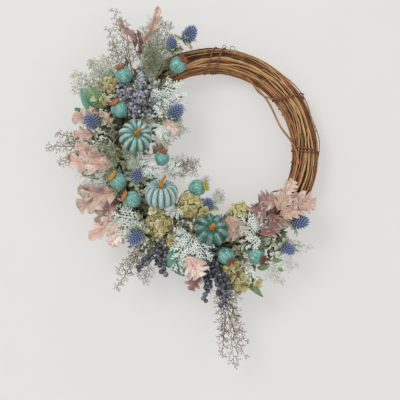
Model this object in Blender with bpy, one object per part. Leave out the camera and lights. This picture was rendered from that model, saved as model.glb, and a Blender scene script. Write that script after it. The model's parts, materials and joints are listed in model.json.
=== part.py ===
"""Harvest door wreath: a grapevine ring with autumn picks wired into its lower left half.

Metres, +Z up. The origin is where the hanger's wire bears on the nail. The wall is behind, at +Y,
and the front faces -Y.

Places on the ring are given by three lengths: the arc along the ring's centreline from the middle
of the spray (positive is anticlockwise seen from the front), the distance out from that centreline
(negative is towards the middle of the ring), and the lift in front of the bundle.
"""
import math

import bmesh
import bpy
from mathutils import Matrix, Vector
from mathutils.geometry import interpolate_bezier

MM = 0.001
GAP = 0.3 * MM  # between pieces that touch

# The vine ring
RING_DIAMETER = 457 * MM  # over the outside of the bundle
OUTER_VINE_RADIUS = 8 * MM
HANGING_VINE_RADIUS = 5 * MM  # the thinner back vine that carries the hanger
RING_SEGMENTS = 48
VINE_SIDES = 6
VINE_ANGLES = {  # round the bundle, from the outside of the ring towards the front
    "vine_outside": 0,
    "vine_front_outer": 60,
    "vine_front_inner": 120,
    "vine_inside": 180,
    "vine_back_inner": 240,
    "vine_back_outer": 300,
}
HANGING_VINE = "vine_back_inner"

# The tendrils that bind the bundle
TIE_RADIUS = 1.6 * MM
TIE_CLEARANCE = 0.8 * MM
TIE_SEGMENTS = 20
TIE_ANGLES = {"tie_top": 92.6, "tie_upper_right": 31, "tie_right": 2}  # degrees round the ring

# The wire hanger
WIRE_RADIUS = 0.8 * MM
EYE_CLEARANCE = 0.8 * MM
BAIL_HALF_WIDTH = 18 * MM
BAIL_COVER = 1 * MM  # how far the ring stands above the bail, which it hides
BAIL_CLEARANCE = 1.3 * MM  # between the legs and the vine that they pass behind
STEP_BACK_SHARE = 0.6  # of the legs' height, where they have stepped back
EYE_SWEEP = 300  # degrees of wire round the hanging vine
EYE_STEP = 30  # degrees between two points of the eye
ARCH_STEP = 22.5  # degrees between two points of the arch

# The spray
SPRAY_ANGLE = 205  # degrees round the ring, where arcs are measured from
STEM_RADIUS = 1.3 * MM
STEM_SIDE_CLEARANCE = 0.7 * MM  # on each side of a stem, between two vines
STEM_CLEARANCE = 0.8 * MM  # between a stem's end and the core vine
STEM_REACH = 4 * MM  # how far a stem runs straight past the bundle
FRONT_REACH = 28  # heads further out or in than this, in millimetres, take a side gap

PUMPKIN_RADIUS = 38 * MM
PUMPKIN_HEIGHT = 52 * MM
PUMPKIN_RIBS = 10
RIB_DEPTH = 0.05  # as a share of the radius
PICK_DEPTH = 0.5  # how far a pumpkin's pick ends behind its middle, as a share of the radius
PUMPKIN_STEM_RADIUS = 5 * MM
PUMPKIN_STEM_LENGTH = 24 * MM

POD_RADIUS = 17 * MM
POD_LENGTH = 38 * MM
THISTLE_RADIUS = 15 * MM
THISTLE_LENGTH = 36 * MM
LEAF_THICKNESS = 1.2 * MM
PETIOLE_HALF_WIDTH = 1.3 * MM

# Worked out from the sizes above
VINE_GAP = 2 * (STEM_RADIUS + STEM_SIDE_CLEARANCE)
BUNDLE_PITCH = 2 * OUTER_VINE_RADIUS + VINE_GAP  # from the core vine to each vine around it
EYE_RADIUS = HANGING_VINE_RADIUS + EYE_CLEARANCE + WIRE_RADIUS
CORE_RADIUS = BUNDLE_PITCH - GAP - max(OUTER_VINE_RADIUS, EYE_RADIUS + WIRE_RADIUS)
BUNDLE_RADIUS = BUNDLE_PITCH + OUTER_VINE_RADIUS
RING_RADIUS = RING_DIAMETER / 2 - BUNDLE_RADIUS
HINGE_ANGLE = math.radians(VINE_ANGLES[HANGING_VINE])
HINGE_VINE_RADIUS = RING_RADIUS + BUNDLE_PITCH * math.cos(HINGE_ANGLE)
HINGE_HEIGHT = math.sqrt(HINGE_VINE_RADIUS**2 - BAIL_HALF_WIDTH**2)  # over the ring's middle
BAIL_RISE = RING_DIAMETER / 2 - BAIL_COVER - WIRE_RADIUS - HINGE_HEIGHT  # to the wire's middle
HINGE_Y = -(OUTER_VINE_RADIUS + BAIL_CLEARANCE + WIRE_RADIUS)
HINGE_Z = WIRE_RADIUS - BAIL_RISE
RING_CENTRE = Vector((0, HINGE_Y + BUNDLE_PITCH * math.sin(HINGE_ANGLE), HINGE_Z - HINGE_HEIGHT))

COLOURS = {  # base colour, roughness
    "vine": ((0.16, 0.085, 0.045), 0.85),
    "tendril": ((0.24, 0.15, 0.07), 0.8),
    "wire": ((0.05, 0.05, 0.045), 0.45),
    "pumpkin_pale": ((0.50, 0.55, 0.53), 0.6),
    "pumpkin_dark": ((0.03, 0.12, 0.12), 0.45),
    "pumpkin_stem": ((0.42, 0.24, 0.08), 0.8),
    "pod": ((0.05, 0.24, 0.26), 0.6),
    "thistle": ((0.13, 0.17, 0.30), 0.8),
    "berry_pale": ((0.27, 0.31, 0.38), 0.5),
    "berry_dark": ((0.04, 0.05, 0.08), 0.5),
    "oak_leaf": ((0.60, 0.34, 0.28), 0.7),
    "dusty_miller": ((0.55, 0.62, 0.50), 0.9),
    "hydrangea": ((0.36, 0.35, 0.17), 0.8),
    "twig": ((0.26, 0.22, 0.13), 0.85),
    "foliage": ((0.04, 0.14, 0.09), 0.6),
}


def clear_scene():
    for obj in list(bpy.data.objects):
        bpy.data.objects.remove(obj, do_unlink=True)


def new_collection(name, hidden=False):
    collection = bpy.data.collections.new(name)
    collection.hide_render = hidden
    bpy.context.scene.collection.children.link(collection)
    return collection


def make_material(name):
    colour, roughness = COLOURS[name]
    material = bpy.data.materials.new(name)
    material.use_nodes = True
    shader = material.node_tree.nodes["Principled BSDF"]
    shader.inputs["Base Color"].default_value = (*colour, 1)
    shader.inputs["Roughness"].default_value = roughness
    shader.inputs["Metallic"].default_value = 1 if name == "wire" else 0
    material.diffuse_color = (*colour, 1)
    return material


def add_object(name, data, material):
    obj = bpy.data.objects.new(name, data)
    data.materials.append(MATERIALS[material])
    WREATH.objects.link(obj)
    return obj


# Places and directions -------------------------------------------------------------------------


def outward(angle):
    """The direction away from the ring's middle at an angle round it, in radians."""
    return Vector((math.cos(angle), 0, math.sin(angle)))


def angle_at(arc):
    return math.radians(SPRAY_ANGLE) + arc * MM / RING_RADIUS


def ring_point(arc, out, lift):
    """A point by its arc, its distance out and its lift in front of the bundle, in millimetres."""
    point = RING_CENTRE + outward(angle_at(arc)) * (RING_RADIUS + out * MM)
    point.y -= BUNDLE_RADIUS + lift * MM
    return point


def aim_direction(aim, tilt):
    """A direction that points to aim degrees in the ring's plane, tilted to the front by tilt."""
    aim, tilt = math.radians(aim), math.radians(tilt)
    return Vector((math.cos(aim) * math.cos(tilt), -math.sin(tilt), math.sin(aim) * math.cos(tilt)))


def bundle_direction(angle, round_bundle):
    """The direction across the bundle, round_bundle degrees from the outside towards the front."""
    turn = math.radians(round_bundle)
    return outward(angle) * math.cos(turn) + Vector((0, -math.sin(turn), 0))


def bundle_gap(out):
    """The gap between two vines that a stem takes for a head this far out, in millimetres."""
    if out > FRONT_REACH:
        return 30
    return 150 if out < -FRONT_REACH else 90


# The ring, its ties and its hanger -------------------------------------------------------------


def add_torus(name, material, major, minor, segments, sides, location, normal):
    bpy.ops.mesh.primitive_torus_add(
        major_radius=major, minor_radius=minor, major_segments=segments, minor_segments=sides
    )
    obj = bpy.context.object
    obj.name = name
    obj.matrix_world = Matrix.Translation(location) @ normal.to_track_quat("Z", "Y").to_matrix().to_4x4()
    obj.data.materials.append(MATERIALS[material])
    for collection in list(obj.users_collection):
        collection.objects.unlink(obj)
    WREATH.objects.link(obj)


def add_vine(name, radius, round_bundle, pitch):
    turn = math.radians(round_bundle)
    centre = RING_CENTRE + Vector((0, -pitch * math.sin(turn), 0))
    major = RING_RADIUS + pitch * math.cos(turn)
    add_torus(name, "vine", major, radius, RING_SEGMENTS, VINE_SIDES, centre, Vector((0, -1, 0)))


def add_vines():
    add_vine("vine_core", CORE_RADIUS, 0, 0)
    for name, round_bundle in VINE_ANGLES.items():
        radius = HANGING_VINE_RADIUS if name == HANGING_VINE else OUTER_VINE_RADIUS
        add_vine(name, radius, round_bundle, BUNDLE_PITCH)


def add_ties():
    major = BUNDLE_RADIUS + TIE_CLEARANCE + TIE_RADIUS
    for name, degrees in TIE_ANGLES.items():
        angle = math.radians(degrees)
        centre = RING_CENTRE + outward(angle) * RING_RADIUS
        along = Vector((-math.sin(angle), 0, math.cos(angle)))
        add_torus(name, "tendril", major, TIE_RADIUS, TIE_SEGMENTS, VINE_SIDES, centre, along)


def hanger_route():
    """Half of the bail: the eye round the vine, the leg that steps back, and the arch to the top."""
    eye = Vector((-BAIL_HALF_WIDTH, HINGE_Y, HINGE_Z))
    route = []
    for step in range(EYE_SWEEP // EYE_STEP, -1, -1):
        turn = math.radians(EYE_STEP * step)
        route.append(eye + Vector((0, math.cos(turn), -math.sin(turn))) * EYE_RADIUS)
    leg_top = BAIL_RISE - BAIL_HALF_WIDTH
    route.append(Vector((-BAIL_HALF_WIDTH, 0, HINGE_Z + leg_top * STEP_BACK_SHARE)))
    for step in range(int(90 / ARCH_STEP) + 1):
        turn = math.radians(ARCH_STEP * step)
        side = -BAIL_HALF_WIDTH * math.cos(turn)
        route.append(Vector((side, 0, HINGE_Z + leg_top + BAIL_HALF_WIDTH * math.sin(turn))))
    return route


def add_hanger():
    half = hanger_route()
    mirrored = [Vector((-point.x, point.y, point.z)) for point in reversed(half[:-1])]
    add_tube("hanger", "wire", [(point, WIRE_RADIUS) for point in half + mirrored], 1)


# Tubes and picks -------------------------------------------------------------------------------


def add_tube(name, material, stations, bevel_resolution):
    """A round piece along a line of stations, each a point and the radius there."""
    curve = bpy.data.curves.new(name, "CURVE")
    curve.dimensions = "3D"
    curve.bevel_depth = 1
    curve.bevel_resolution = bevel_resolution
    curve.use_fill_caps = True
    spline = curve.splines.new("POLY")
    spline.points.add(len(stations) - 1)
    for spline_point, (point, radius) in zip(spline.points, stations):
        spline_point.co = (*point, 1)
        spline_point.radius = radius
    return add_object(name, curve, material)


def stem_points(root_arc, out, neck, facing):
    """A stem's line: out of a gap in the bundle, then in one bend to the neck of its head."""
    angle = angle_at(root_arc)
    way_out = bundle_direction(angle, bundle_gap(out))
    centre = RING_CENTRE + outward(angle) * RING_RADIUS
    root = centre + way_out * (CORE_RADIUS + STEM_CLEARANCE)
    mouth = centre + way_out * (BUNDLE_RADIUS + STEM_REACH)
    pull = (neck - mouth).length / 3
    bend = interpolate_bezier(mouth, mouth + way_out * pull, neck - facing * pull, neck, 5)
    return [root] + bend


def add_pick(name, material, place, aim, tilt, length, profile, lean):
    """A head on its stem. The profile gives the head's radius at shares of its length."""
    arc, out, lift = place
    facing = aim_direction(aim, tilt)
    middle = ring_point(arc, out, lift)
    neck = middle - facing * length / 2
    stations = [(point, STEM_RADIUS) for point in stem_points(arc + lean, out, neck, facing)]
    stations += [(neck + facing * length * share, radius) for share, radius in profile]
    add_tube(name, material, stations, 1)


# Pumpkins --------------------------------------------------------------------------------------


def pumpkin_mesh(name):
    """A ribbed, flattened ball whose top and base are flat over the first ring of faces."""
    bm = bmesh.new()
    bmesh.ops.create_uvsphere(bm, u_segments=2 * PUMPKIN_RIBS, v_segments=8, radius=1)
    flat_height = math.cos(math.pi / 8)
    for vert in bm.verts:
        rib = 1 + RIB_DEPTH * math.cos(PUMPKIN_RIBS * math.atan2(vert.co.y, vert.co.x))
        height = max(-flat_height, min(flat_height, vert.co.z))
        vert.co.x *= PUMPKIN_RADIUS / (1 + RIB_DEPTH) * rib
        vert.co.y *= PUMPKIN_RADIUS / (1 + RIB_DEPTH) * rib
        vert.co.z = height / flat_height * PUMPKIN_HEIGHT / 2
    mesh = bpy.data.meshes.new(name)
    bm.to_mesh(mesh)
    bm.free()
    mesh.shade_smooth()
    return mesh


def curve_to_mesh_object(obj):
    """Turns a tube into a welded mesh, so that a Boolean can use it."""
    depsgraph = bpy.context.evaluated_depsgraph_get()
    mesh = bpy.data.meshes.new_from_object(obj.evaluated_get(depsgraph))
    bm = bmesh.new()
    bm.from_mesh(mesh)
    bmesh.ops.remove_doubles(bm, verts=bm.verts, dist=0.01 * MM)
    bm.to_mesh(mesh)
    bm.free()
    result = bpy.data.objects.new(obj.name + "_solid", mesh)
    result.matrix_world = obj.matrix_world
    bpy.data.objects.remove(obj, do_unlink=True)
    CUTTERS.objects.link(result)
    result.hide_render = True
    result.display_type = "WIRE"
    return result


def add_pumpkin(name, material, place, aim, tilt, stem_aim):
    arc, out, lift = place
    axis = aim_direction(aim, tilt)
    middle = ring_point(arc, out, lift)
    pumpkin = add_object(name, pumpkin_mesh(name), material)
    turn = axis.to_track_quat("Z", "Y").to_matrix().to_4x4()
    pumpkin.matrix_world = Matrix.Translation(middle) @ turn

    front = Vector((0, -1, 0))
    entry = middle - front * PUMPKIN_RADIUS * PICK_DEPTH
    line = stem_points(arc, out, entry, front)
    pick = add_tube(name + "_pick", material, [(point, STEM_RADIUS) for point in line], 1)
    union = pumpkin.modifiers.new("pick", "BOOLEAN")
    union.operation = "UNION"
    union.object = curve_to_mesh_object(pick)

    foot = middle + axis * (PUMPKIN_HEIGHT / 2 + GAP)
    lean_to = aim_direction(stem_aim, tilt)
    stations = []
    for share, radius in ((0, 1), (0.15, 0.75), (0.5, 0.6), (0.85, 0.65), (1, 0.8)):
        along = axis.lerp(lean_to, share / 2) * PUMPKIN_STEM_LENGTH * share
        stations.append((foot + along, PUMPKIN_STEM_RADIUS * radius))
    add_tube(name + "_stem", "pumpkin_stem", stations, 2)


# Flat leaves and sprays ------------------------------------------------------------------------


def leaf_outline(length, petiole, half_width, lobes, depth):
    """A leaf's outline along +X: the petiole, then a blade with lobes on both edges."""
    upper = [(0, PETIOLE_HALF_WIDTH), (petiole, PETIOLE_HALF_WIDTH)]
    steps = max(4 * lobes, 6)
    for step in range(1, steps):
        share = step / steps
        swell = math.sin(math.pi * share**0.8)
        wave = 1 - depth * (0.5 - 0.5 * math.cos(2 * math.pi * lobes * share)) if lobes else 1
        height = PETIOLE_HALF_WIDTH + (half_width - PETIOLE_HALF_WIDTH) * swell * wave
        upper.append((petiole + (length - petiole) * share, height))
    lower = [(along, -height) for along, height in reversed(upper)]
    return upper + [(length, 0)] + lower


def spray_outline(length, petiole, half_width, branches):
    """A forked twig's outline along +X: pairs of slanting side shoots, shorter towards the tip."""
    upper = [(0, PETIOLE_HALF_WIDTH)]
    spacing = (length - petiole) / (branches + 1)
    for branch in range(branches):
        along = petiole + spacing * branch
        reach = half_width * (1 - 0.5 * branch / branches)
        upper.append((along, PETIOLE_HALF_WIDTH))
        upper.append((along + spacing * 1.1, reach))
        upper.append((along + spacing * 1.1 + 2 * PETIOLE_HALF_WIDTH, reach * 0.94))
        upper.append((along + 2.2 * PETIOLE_HALF_WIDTH, PETIOLE_HALF_WIDTH))
    lower = [(along, -height) for along, height in reversed(upper)]
    return upper + [(length, 0)] + lower


def add_plate(name, material, root, tip, outline):
    """A flat piece from its root to its tip, each an arc, a distance out and a lift."""
    start = ring_point(*root)
    along = (ring_point(*tip) - start).normalized()
    across = Vector((0, -1, 0)).cross(along).normalized()
    normal = along.cross(across)
    curve = bpy.data.curves.new(name, "CURVE")
    curve.dimensions = "2D"
    curve.fill_mode = "BOTH"
    curve.extrude = LEAF_THICKNESS / 2
    spline = curve.splines.new("POLY")
    spline.points.add(len(outline) - 1)
    for spline_point, (x, y) in zip(spline.points, outline):
        spline_point.co = (x, y, 0, 1)
    spline.use_cyclic_u = True
    obj = add_object(name, curve, material)
    axes = Matrix((along, across, normal)).transposed().to_4x4()
    obj.matrix_world = Matrix.Translation(start) @ axes


def plate_length(root, tip):
    return (ring_point(*tip) - ring_point(*root)).length


def add_leaf(name, material, root, tip, petiole, width, lobes=0, depth=0):
    outline = leaf_outline(plate_length(root, tip), petiole * MM, width * MM / 2, lobes, depth)
    add_plate(name, material, root, tip, outline)


def add_spray(name, root, tip, petiole, width, branches):
    outline = spray_outline(plate_length(root, tip), petiole * MM, width * MM / 2, branches)
    add_plate(name, "twig", root, tip, outline)


# The spray's picks -----------------------------------------------------------------------------


def add_pumpkins():
    add_pumpkin("pumpkin_upper", "pumpkin_pale", (-127, -33, 34), 60, 70, 45)
    add_pumpkin("pumpkin_middle", "pumpkin_pale", (49, -59, 34), 90, 35, 60)
    add_pumpkin("pumpkin_lower", "pumpkin_dark", (224, -35, 34), 90, 75, 60)


def add_pods():
    radius = POD_RADIUS
    profile = (
        (0.08, 0.45 * radius),
        (0.3, 0.9 * radius),
        (0.5, radius),
        (0.72, 0.75 * radius),
        (0.86, 0.35 * radius),
        (0.93, 0.6 * radius),
        (1, 0.55 * radius),
    )
    places = {  # place, aim, tilt, lean of the root along the arc
        "pod_top_left": ((-230, 50, 26), 117, 25, 0),
        "pod_left_upper": ((-172, 18, 30), 122, 30, 0),
        "pod_top": ((-324, -1, 24), 45, 30, 0),
        "pod_inner": ((-62, -90, 22), 80, 30, 0),
        "pod_left": ((-26, 10, 34), 139, 30, 0),
        "pod_left_lower": ((20, -2, 42), 154, 25, 0),
        "pod_centre": ((142, -117, 26), 12, 25, -25),
        "pod_bottom": ((251, 21, 30), -49, 30, 0),
        "pod_bottom_right": ((305, 39, 28), -25, 30, 0),
    }
    for name, (place, aim, tilt, lean) in places.items():
        add_pick(name, "pod", place, aim, tilt, POD_LENGTH, profile, lean)


def add_thistles():
    radius = THISTLE_RADIUS
    profile = (
        (0.06, 0.4 * radius),
        (0.25, 0.7 * radius),
        (0.5, 0.6 * radius),
        (0.95, radius),
        (1, 0.8 * radius),
    )
    places = {
        "thistle_top": ((-361, 63, 20), 75, 20, 0),
        "thistle_top_inner": ((-328, 47, 18), 100, 25, 0),
        "thistle_inner_upper": ((-245, -84, 22), 55, 25, 10),
        "thistle_left_upper": ((-136, 62, 24), 160, 25, 0),
        "thistle_left": ((-28, -30, 22), 90, 70, 0),
        "thistle_left_lower": ((79, 42, 24), -120, 30, 0),
        "thistle_inner_lower": ((207, -88, 18), 90, 60, 0),
        "thistle_right": ((404, 35, 18), 0, 25, 0),
        "thistle_bottom_right": ((359, 59, 18), -35, 35, 0),
    }
    for name, (place, aim, tilt, lean) in places.items():
        add_pick(name, "thistle", place, aim, tilt, THISTLE_LENGTH, profile, lean)


def mound(radius):
    """The profile of a plain rounded cluster of one radius."""
    return (0.08, 0.5 * radius), (0.3, 0.95 * radius), (0.65, radius), (0.9, 0.7 * radius), (1, 0.3 * radius)


def add_clusters():
    clusters = {  # colour, place, aim, tilt, length, radius, lean
        "berries_upper": ("berry_pale", (-209, 14, 20), 110, 45, 40, 14, 0),
        "berries_upper_inner": ("berry_pale", (-252, -12, 18), 60, 45, 34, 12, 0),
        "berries_lower": ("berry_dark", (133, 41, 22), -90, 20, 66, 9, 0),
        "berries_bottom": ("berry_dark", (220, 76, 14), -100, 10, 96, 7, 0),
        "berries_bottom_right": ("berry_dark", (241, 94, 30), -85, 15, 66, 12, 12),
        "hydrangea_inner": ("hydrangea", (144, -77, 26), 90, 80, 18, 24, 10),
        "hydrangea_lower": ("hydrangea", (103, -5, 20), -100, 75, 20, 26, 0),
        "hydrangea_bottom": ("hydrangea", (266, 81, 12), -60, 75, 18, 24, 0),
    }
    for name, (material, place, aim, tilt, length, radius, lean) in clusters.items():
        add_pick(name, material, place, aim, tilt, length * MM, mound(radius * MM), lean)


def add_leaves():
    # name, root, tip, petiole, width, lobes, depth
    add_leaf("oak_leaf_left_upper", "oak_leaf", (-148, 12, 2), (-133, 110, 8), 55, 42, 2, 0.5)
    add_leaf("oak_leaf_left", "oak_leaf", (-62, 12, 2), (-76, 105, 12), 15, 50, 3, 0.5)
    add_leaf("oak_leaf_left_lower", "oak_leaf", (-10, 12, 2), (-8, 110, 8), 20, 50, 3, 0.5)
    add_leaf("oak_leaf_lower", "oak_leaf", (45, 12, 2), (35, 120, 8), 35, 45, 3, 0.5)
    add_leaf("oak_leaf_top", "oak_leaf", (-305, 12, 2), (-309, 150, 10), 75, 26, 2, 0.4)
    add_leaf("oak_leaf_right", "oak_leaf", (425, 12, 2), (425, 55, 12), 5, 34, 2, 0.5)
    add_leaf("dusty_miller_upper", "dusty_miller", (-262, -14, 2), (-310, -64, 8), 10, 44, 4, 0.5)
    add_leaf("dusty_miller_lower_left", "dusty_miller", (62, 12, 2), (50, 72, 10), 8, 46, 4, 0.5)
    add_leaf("dusty_miller_bottom", "dusty_miller", (178, -12, 2), (190, 42, 24), 5, 60, 4, 0.5)
    add_leaf("broad_leaf_left", "foliage", (-172, 12, 2), (-176, 110, 12), 40, 50)
    add_leaf("broad_leaf_bottom", "foliage", (165, 12, 2), (175, 62, 14), 8, 52)


def add_sprays():
    add_spray("twig_spray_top_left", (-225, 12, 2), (-279, 180, 6), 60, 70, 5)
    add_spray("twig_spray_left_upper", (-195, 12, 2), (-190, 145, 6), 55, 70, 4)
    add_spray("twig_spray_left", (-95, 12, 2), (-92, 158, 6), 60, 80, 5)
    add_spray("twig_spray_lower_left", (90, 12, 2), (104, 165, 6), 60, 60, 4)
    add_spray("twig_spray_bottom", (235, 12, 2), (255, 268, 6), 90, 60, 6)


clear_scene()
WREATH = new_collection("harvest_door_wreath")
CUTTERS = new_collection("cutters", hidden=True)
MATERIALS = {name: make_material(name) for name in COLOURS}
add_vines()
add_ties()
add_hanger()
add_pumpkins()
add_pods()
add_thistles()
add_clusters()
add_leaves()
add_sprays()
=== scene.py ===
# %% [markdown]
# # A harvest door wreath
# The real wreath is a hoop of wild grapevine with a spray of craft-shop picks wired into its left half:
# three painted pumpkins, poppy pods, thistles, berries, hydrangea, silver lace leaves and oak leaves.
# The CAD frame holds one plain solid for each of those. This script keeps every place and size of the
# frame, and grows a finished piece over each solid.

# %% Load the fixed frame
import json
import math
import random
from collections import namedtuple
from contextlib import contextmanager, nullcontext

import bmesh
import bpy
from mathutils import Matrix, Vector, noise
from mathutils.geometry import interpolate_bezier

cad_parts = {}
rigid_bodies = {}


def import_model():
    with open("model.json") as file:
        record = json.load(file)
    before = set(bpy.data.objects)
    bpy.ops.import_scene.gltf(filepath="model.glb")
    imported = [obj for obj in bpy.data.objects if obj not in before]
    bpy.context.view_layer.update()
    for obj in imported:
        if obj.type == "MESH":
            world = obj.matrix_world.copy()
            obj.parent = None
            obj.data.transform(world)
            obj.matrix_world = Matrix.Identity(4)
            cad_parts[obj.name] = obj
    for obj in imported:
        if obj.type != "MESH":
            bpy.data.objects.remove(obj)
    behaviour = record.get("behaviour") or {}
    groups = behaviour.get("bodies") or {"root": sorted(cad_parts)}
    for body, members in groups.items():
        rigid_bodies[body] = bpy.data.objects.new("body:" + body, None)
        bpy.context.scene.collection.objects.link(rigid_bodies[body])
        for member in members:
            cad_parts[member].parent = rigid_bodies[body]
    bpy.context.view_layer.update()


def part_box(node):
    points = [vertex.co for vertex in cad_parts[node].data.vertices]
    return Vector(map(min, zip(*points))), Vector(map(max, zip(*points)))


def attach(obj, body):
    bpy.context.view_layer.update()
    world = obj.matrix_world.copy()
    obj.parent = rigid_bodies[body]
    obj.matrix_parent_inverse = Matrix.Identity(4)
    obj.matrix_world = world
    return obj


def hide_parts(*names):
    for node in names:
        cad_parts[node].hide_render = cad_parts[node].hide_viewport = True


for startup in list(bpy.data.objects):
    bpy.data.objects.remove(startup)
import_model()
scene = bpy.context.scene

# %% [markdown]
# ## Where things go on a hoop
# Everything on a wreath is placed along the hoop, so a place is three numbers in millimetres: the arc
# from the middle of the spray, how far out from the hoop's middle line, and how far it lifts off the
# front of the bundle. The hoop's centre and its core's thickness are measured from the solid of its core
# vine; its radius and the bundle's are given.

# %% Hoop places
MM = 0.001
core_low, core_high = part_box("vine_core")
HOOP_CENTRE = (core_low + core_high) / 2
HOOP_RADIUS, BUNDLE_RADIUS = 200.5 * MM, 28.0 * MM
CORE_RADIUS = core_high.x - HOOP_RADIUS
SPRAY_MIDDLE = math.radians(205)
FRONT = Vector((0, -1, 0))


def outward(angle):
    """The way out from the hoop's centre at an angle round it."""
    return Vector((math.cos(angle), 0, math.sin(angle)))


def angle_at(arc):
    """The angle round the hoop at an arc in millimetres from the middle of the spray."""
    return SPRAY_MIDDLE + arc * MM / HOOP_RADIUS


def spot(arc, out, lift):
    """The point at an arc, a distance out and a lift off the front of the bundle."""
    radial = outward(angle_at(arc)) * (HOOP_RADIUS + out * MM)
    return HOOP_CENTRE + radial + FRONT * (BUNDLE_RADIUS + lift * MM)


def heading(aim, tilt):
    """A direction that points to aim degrees in the hoop's plane, tilted to the front by tilt."""
    aim, tilt = math.radians(aim), math.radians(tilt)
    return Vector((math.cos(aim) * math.cos(tilt), -math.sin(tilt), math.sin(aim) * math.cos(tilt)))


def stand(middle, axis):
    """The turn and move that stand a head, made upright at the origin, along its axis at its place."""
    return Matrix.Translation(middle) @ axis.to_track_quat("Z", "Y").to_matrix().to_4x4()


def clamp(value):
    return min(1, max(0, value))


def round_bundle(angle, reach, turn):
    """The point reach from the hoop's middle line, turn round it: 0 is outside, a quarter is front."""
    return HOOP_CENTRE + outward(angle) * (HOOP_RADIUS + reach * math.cos(turn)) + FRONT * reach * math.sin(turn)


# %% [markdown]
# ## Camera, wall and light
# A wreath is seen straight on, from far enough that it doesn't bulge, so the lens is long. The wall
# stands just behind the hoop and sweeps into a plain floor. Seen from behind, the wall lets the eye
# through. A big soft lamp high on the left gives the soft shadows to the right and below.

# %% Camera
VIEW_CENTRE = Vector((-0.0283, HOOP_CENTRE.y, -0.3282))
VIEW_DISTANCE = 2.418
camera_data = bpy.data.cameras.new("camera")
camera_data.lens, camera_data.sensor_width = 100, 36
camera = bpy.data.objects.new("camera", camera_data)
camera.location = VIEW_CENTRE + FRONT * VIEW_DISTANCE
camera.rotation_euler = (math.radians(90), 0, 0)
scene.collection.objects.link(camera)
scene.camera = camera
scene.view_settings.view_transform = "Standard"
print("camera at", tuple(round(n, 3) for n in camera.location))


# %% Lamps
def lamp(name, place, target, size, power, colour=(1, 1, 1)):
    data = bpy.data.lights.new(name, "AREA")
    data.size, data.energy, data.color = size, power, colour
    made = bpy.data.objects.new(name, data)
    made.location = place
    made.rotation_euler = (Vector(target) - Vector(place)).to_track_quat("-Z", "Y").to_euler()
    scene.collection.objects.link(made)


lamp("key_lamp", (-2.4, -3.9, 2.1), (0, 0, -0.3), 2.0, 118, (1, 0.99, 0.97))
lamp("fill_lamp", (3.0, -3.4, -0.6), (0, 0, -0.3), 2.6, 26, (0.97, 0.99, 1))
lamp("back_lamp", (0.6, 2.4, 0.9), (0, 0, -0.3), 2.0, 45)
world = bpy.data.worlds.new("studio")
world.use_nodes = True
world.node_tree.nodes["Background"].inputs["Color"].default_value = (0.93, 0.94, 0.96, 1)
world.node_tree.nodes["Background"].inputs["Strength"].default_value = 0.66
scene.world = world

# %% [markdown]
# ## Tools for finishes
# A finish is a small net of nodes. These helpers add a node and join its inputs in one call, so each
# finish below reads as a recipe. Colours are written as a paint chart would, in hexadecimal.


# %% Node helpers
def paint(code):
    """A paint-chart code such as 8a5232 as the colour that nodes take."""
    parts = [int(code[i:i + 2], 16) / 255 for i in (0, 2, 4)]
    return (*[c / 12.92 if c <= 0.04045 else ((c + 0.055) / 1.055) ** 2.4 for c in parts], 1)


def feed(tree, socket, value):
    """Link a node's output to a socket, or set the socket to a plain value."""
    if isinstance(value, bpy.types.NodeSocket):
        tree.links.new(value, socket)
    elif value is not None:
        socket.default_value = value


def put(tree, kind, *values, **settings):
    """Add a node and feed its inputs in order. None leaves an input as it is."""
    made = tree.nodes.new("ShaderNode" + kind)
    for name, setting in settings.items():
        setattr(made, name, setting)
    for socket, value in zip(made.inputs, values):
        feed(tree, socket, value)
    return made


def calc(tree, operation, *values):
    """One sum on a Math node."""
    return put(tree, "Math", *values, operation=operation).outputs[0]


def times(tree, first, second):
    return calc(tree, "MULTIPLY", first, second)


def plus(tree, first, second):
    return calc(tree, "ADD", first, second)


def cloud(tree, place, scale, detail, roughness):
    """Soft noise: scale is in patches to a metre, or to one unit of a stretched place."""
    return put(tree, "TexNoise", place, None, scale, detail, roughness).outputs[0]


def remap(tree, value, low, high, to_low=0.0, to_high=1.0):
    return put(tree, "MapRange", value, low, high, to_low, to_high).outputs[0]


MIX_FIRST, MIX_SECOND, MIX_RESULT = 6, 7, 2  # the colour sockets of a Mix node


def mixed(tree, share, first, second, blend="MIX"):
    """Two colours mixed by a share, each a node's output or a paint code."""
    made = put(tree, "Mix", share, data_type="RGBA", blend_type=blend)
    for place, value in ((MIX_FIRST, first), (MIX_SECOND, second)):
        feed(tree, made.inputs[place], paint(value) if isinstance(value, str) else value)
    return made.outputs[MIX_RESULT]


def dabbed(tree, mask, strength, colour, code, blend="MIX"):
    """A colour with a paint dabbed over it where a mask is, as strongly as strength says."""
    return mixed(tree, times(tree, mask, strength), colour, code, blend)


def scale_of(tree, value, *stops):
    """A ramp of paints: each stop is a position and a paint code."""
    made = put(tree, "ValToRGB", value)
    ends = made.color_ramp.elements
    while len(ends) < len(stops):
        ends.new(0.5)
    for end, (position, code) in zip(ends, stops):
        end.position, end.color = position, paint(code)
    return made.outputs[0]


print("node helpers ready")

# %% [markdown]
# ## What each point of a piece knows
# Bark runs along a vine and veins run out from a midrib, wherever the vine or leaf points. So every
# vertex carries a growth value of three numbers: how far along the piece it is, how far across, and a
# tone that picks this piece's own colour out of the range of its kind. For the vines and the small
# greenery, the tone is also set darker where a piece sits deep, as painted shade.


# %% Growth and shared effects
Growth = namedtuple("Growth", "whole along across tone")


def growth_of(tree):
    """The growth value of the point being shaded, whole and in its three numbers."""
    whole = put(tree, "Attribute", attribute_name="growth").outputs["Vector"]
    return Growth(whole, *put(tree, "SeparateXYZ", whole).outputs)


def new_group(name, inputs, outputs):
    """An empty node group with named inputs and outputs."""
    group = bpy.data.node_groups.new(name, "ShaderNodeTree")
    for way, sockets in (("INPUT", inputs), ("OUTPUT", outputs)):
        for title, kind in sockets.items():
            group.interface.new_socket(title, in_out=way, socket_type="NodeSocket" + kind)
    return group, group.nodes.new("NodeGroupInput"), group.nodes.new("NodeGroupOutput")


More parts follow.
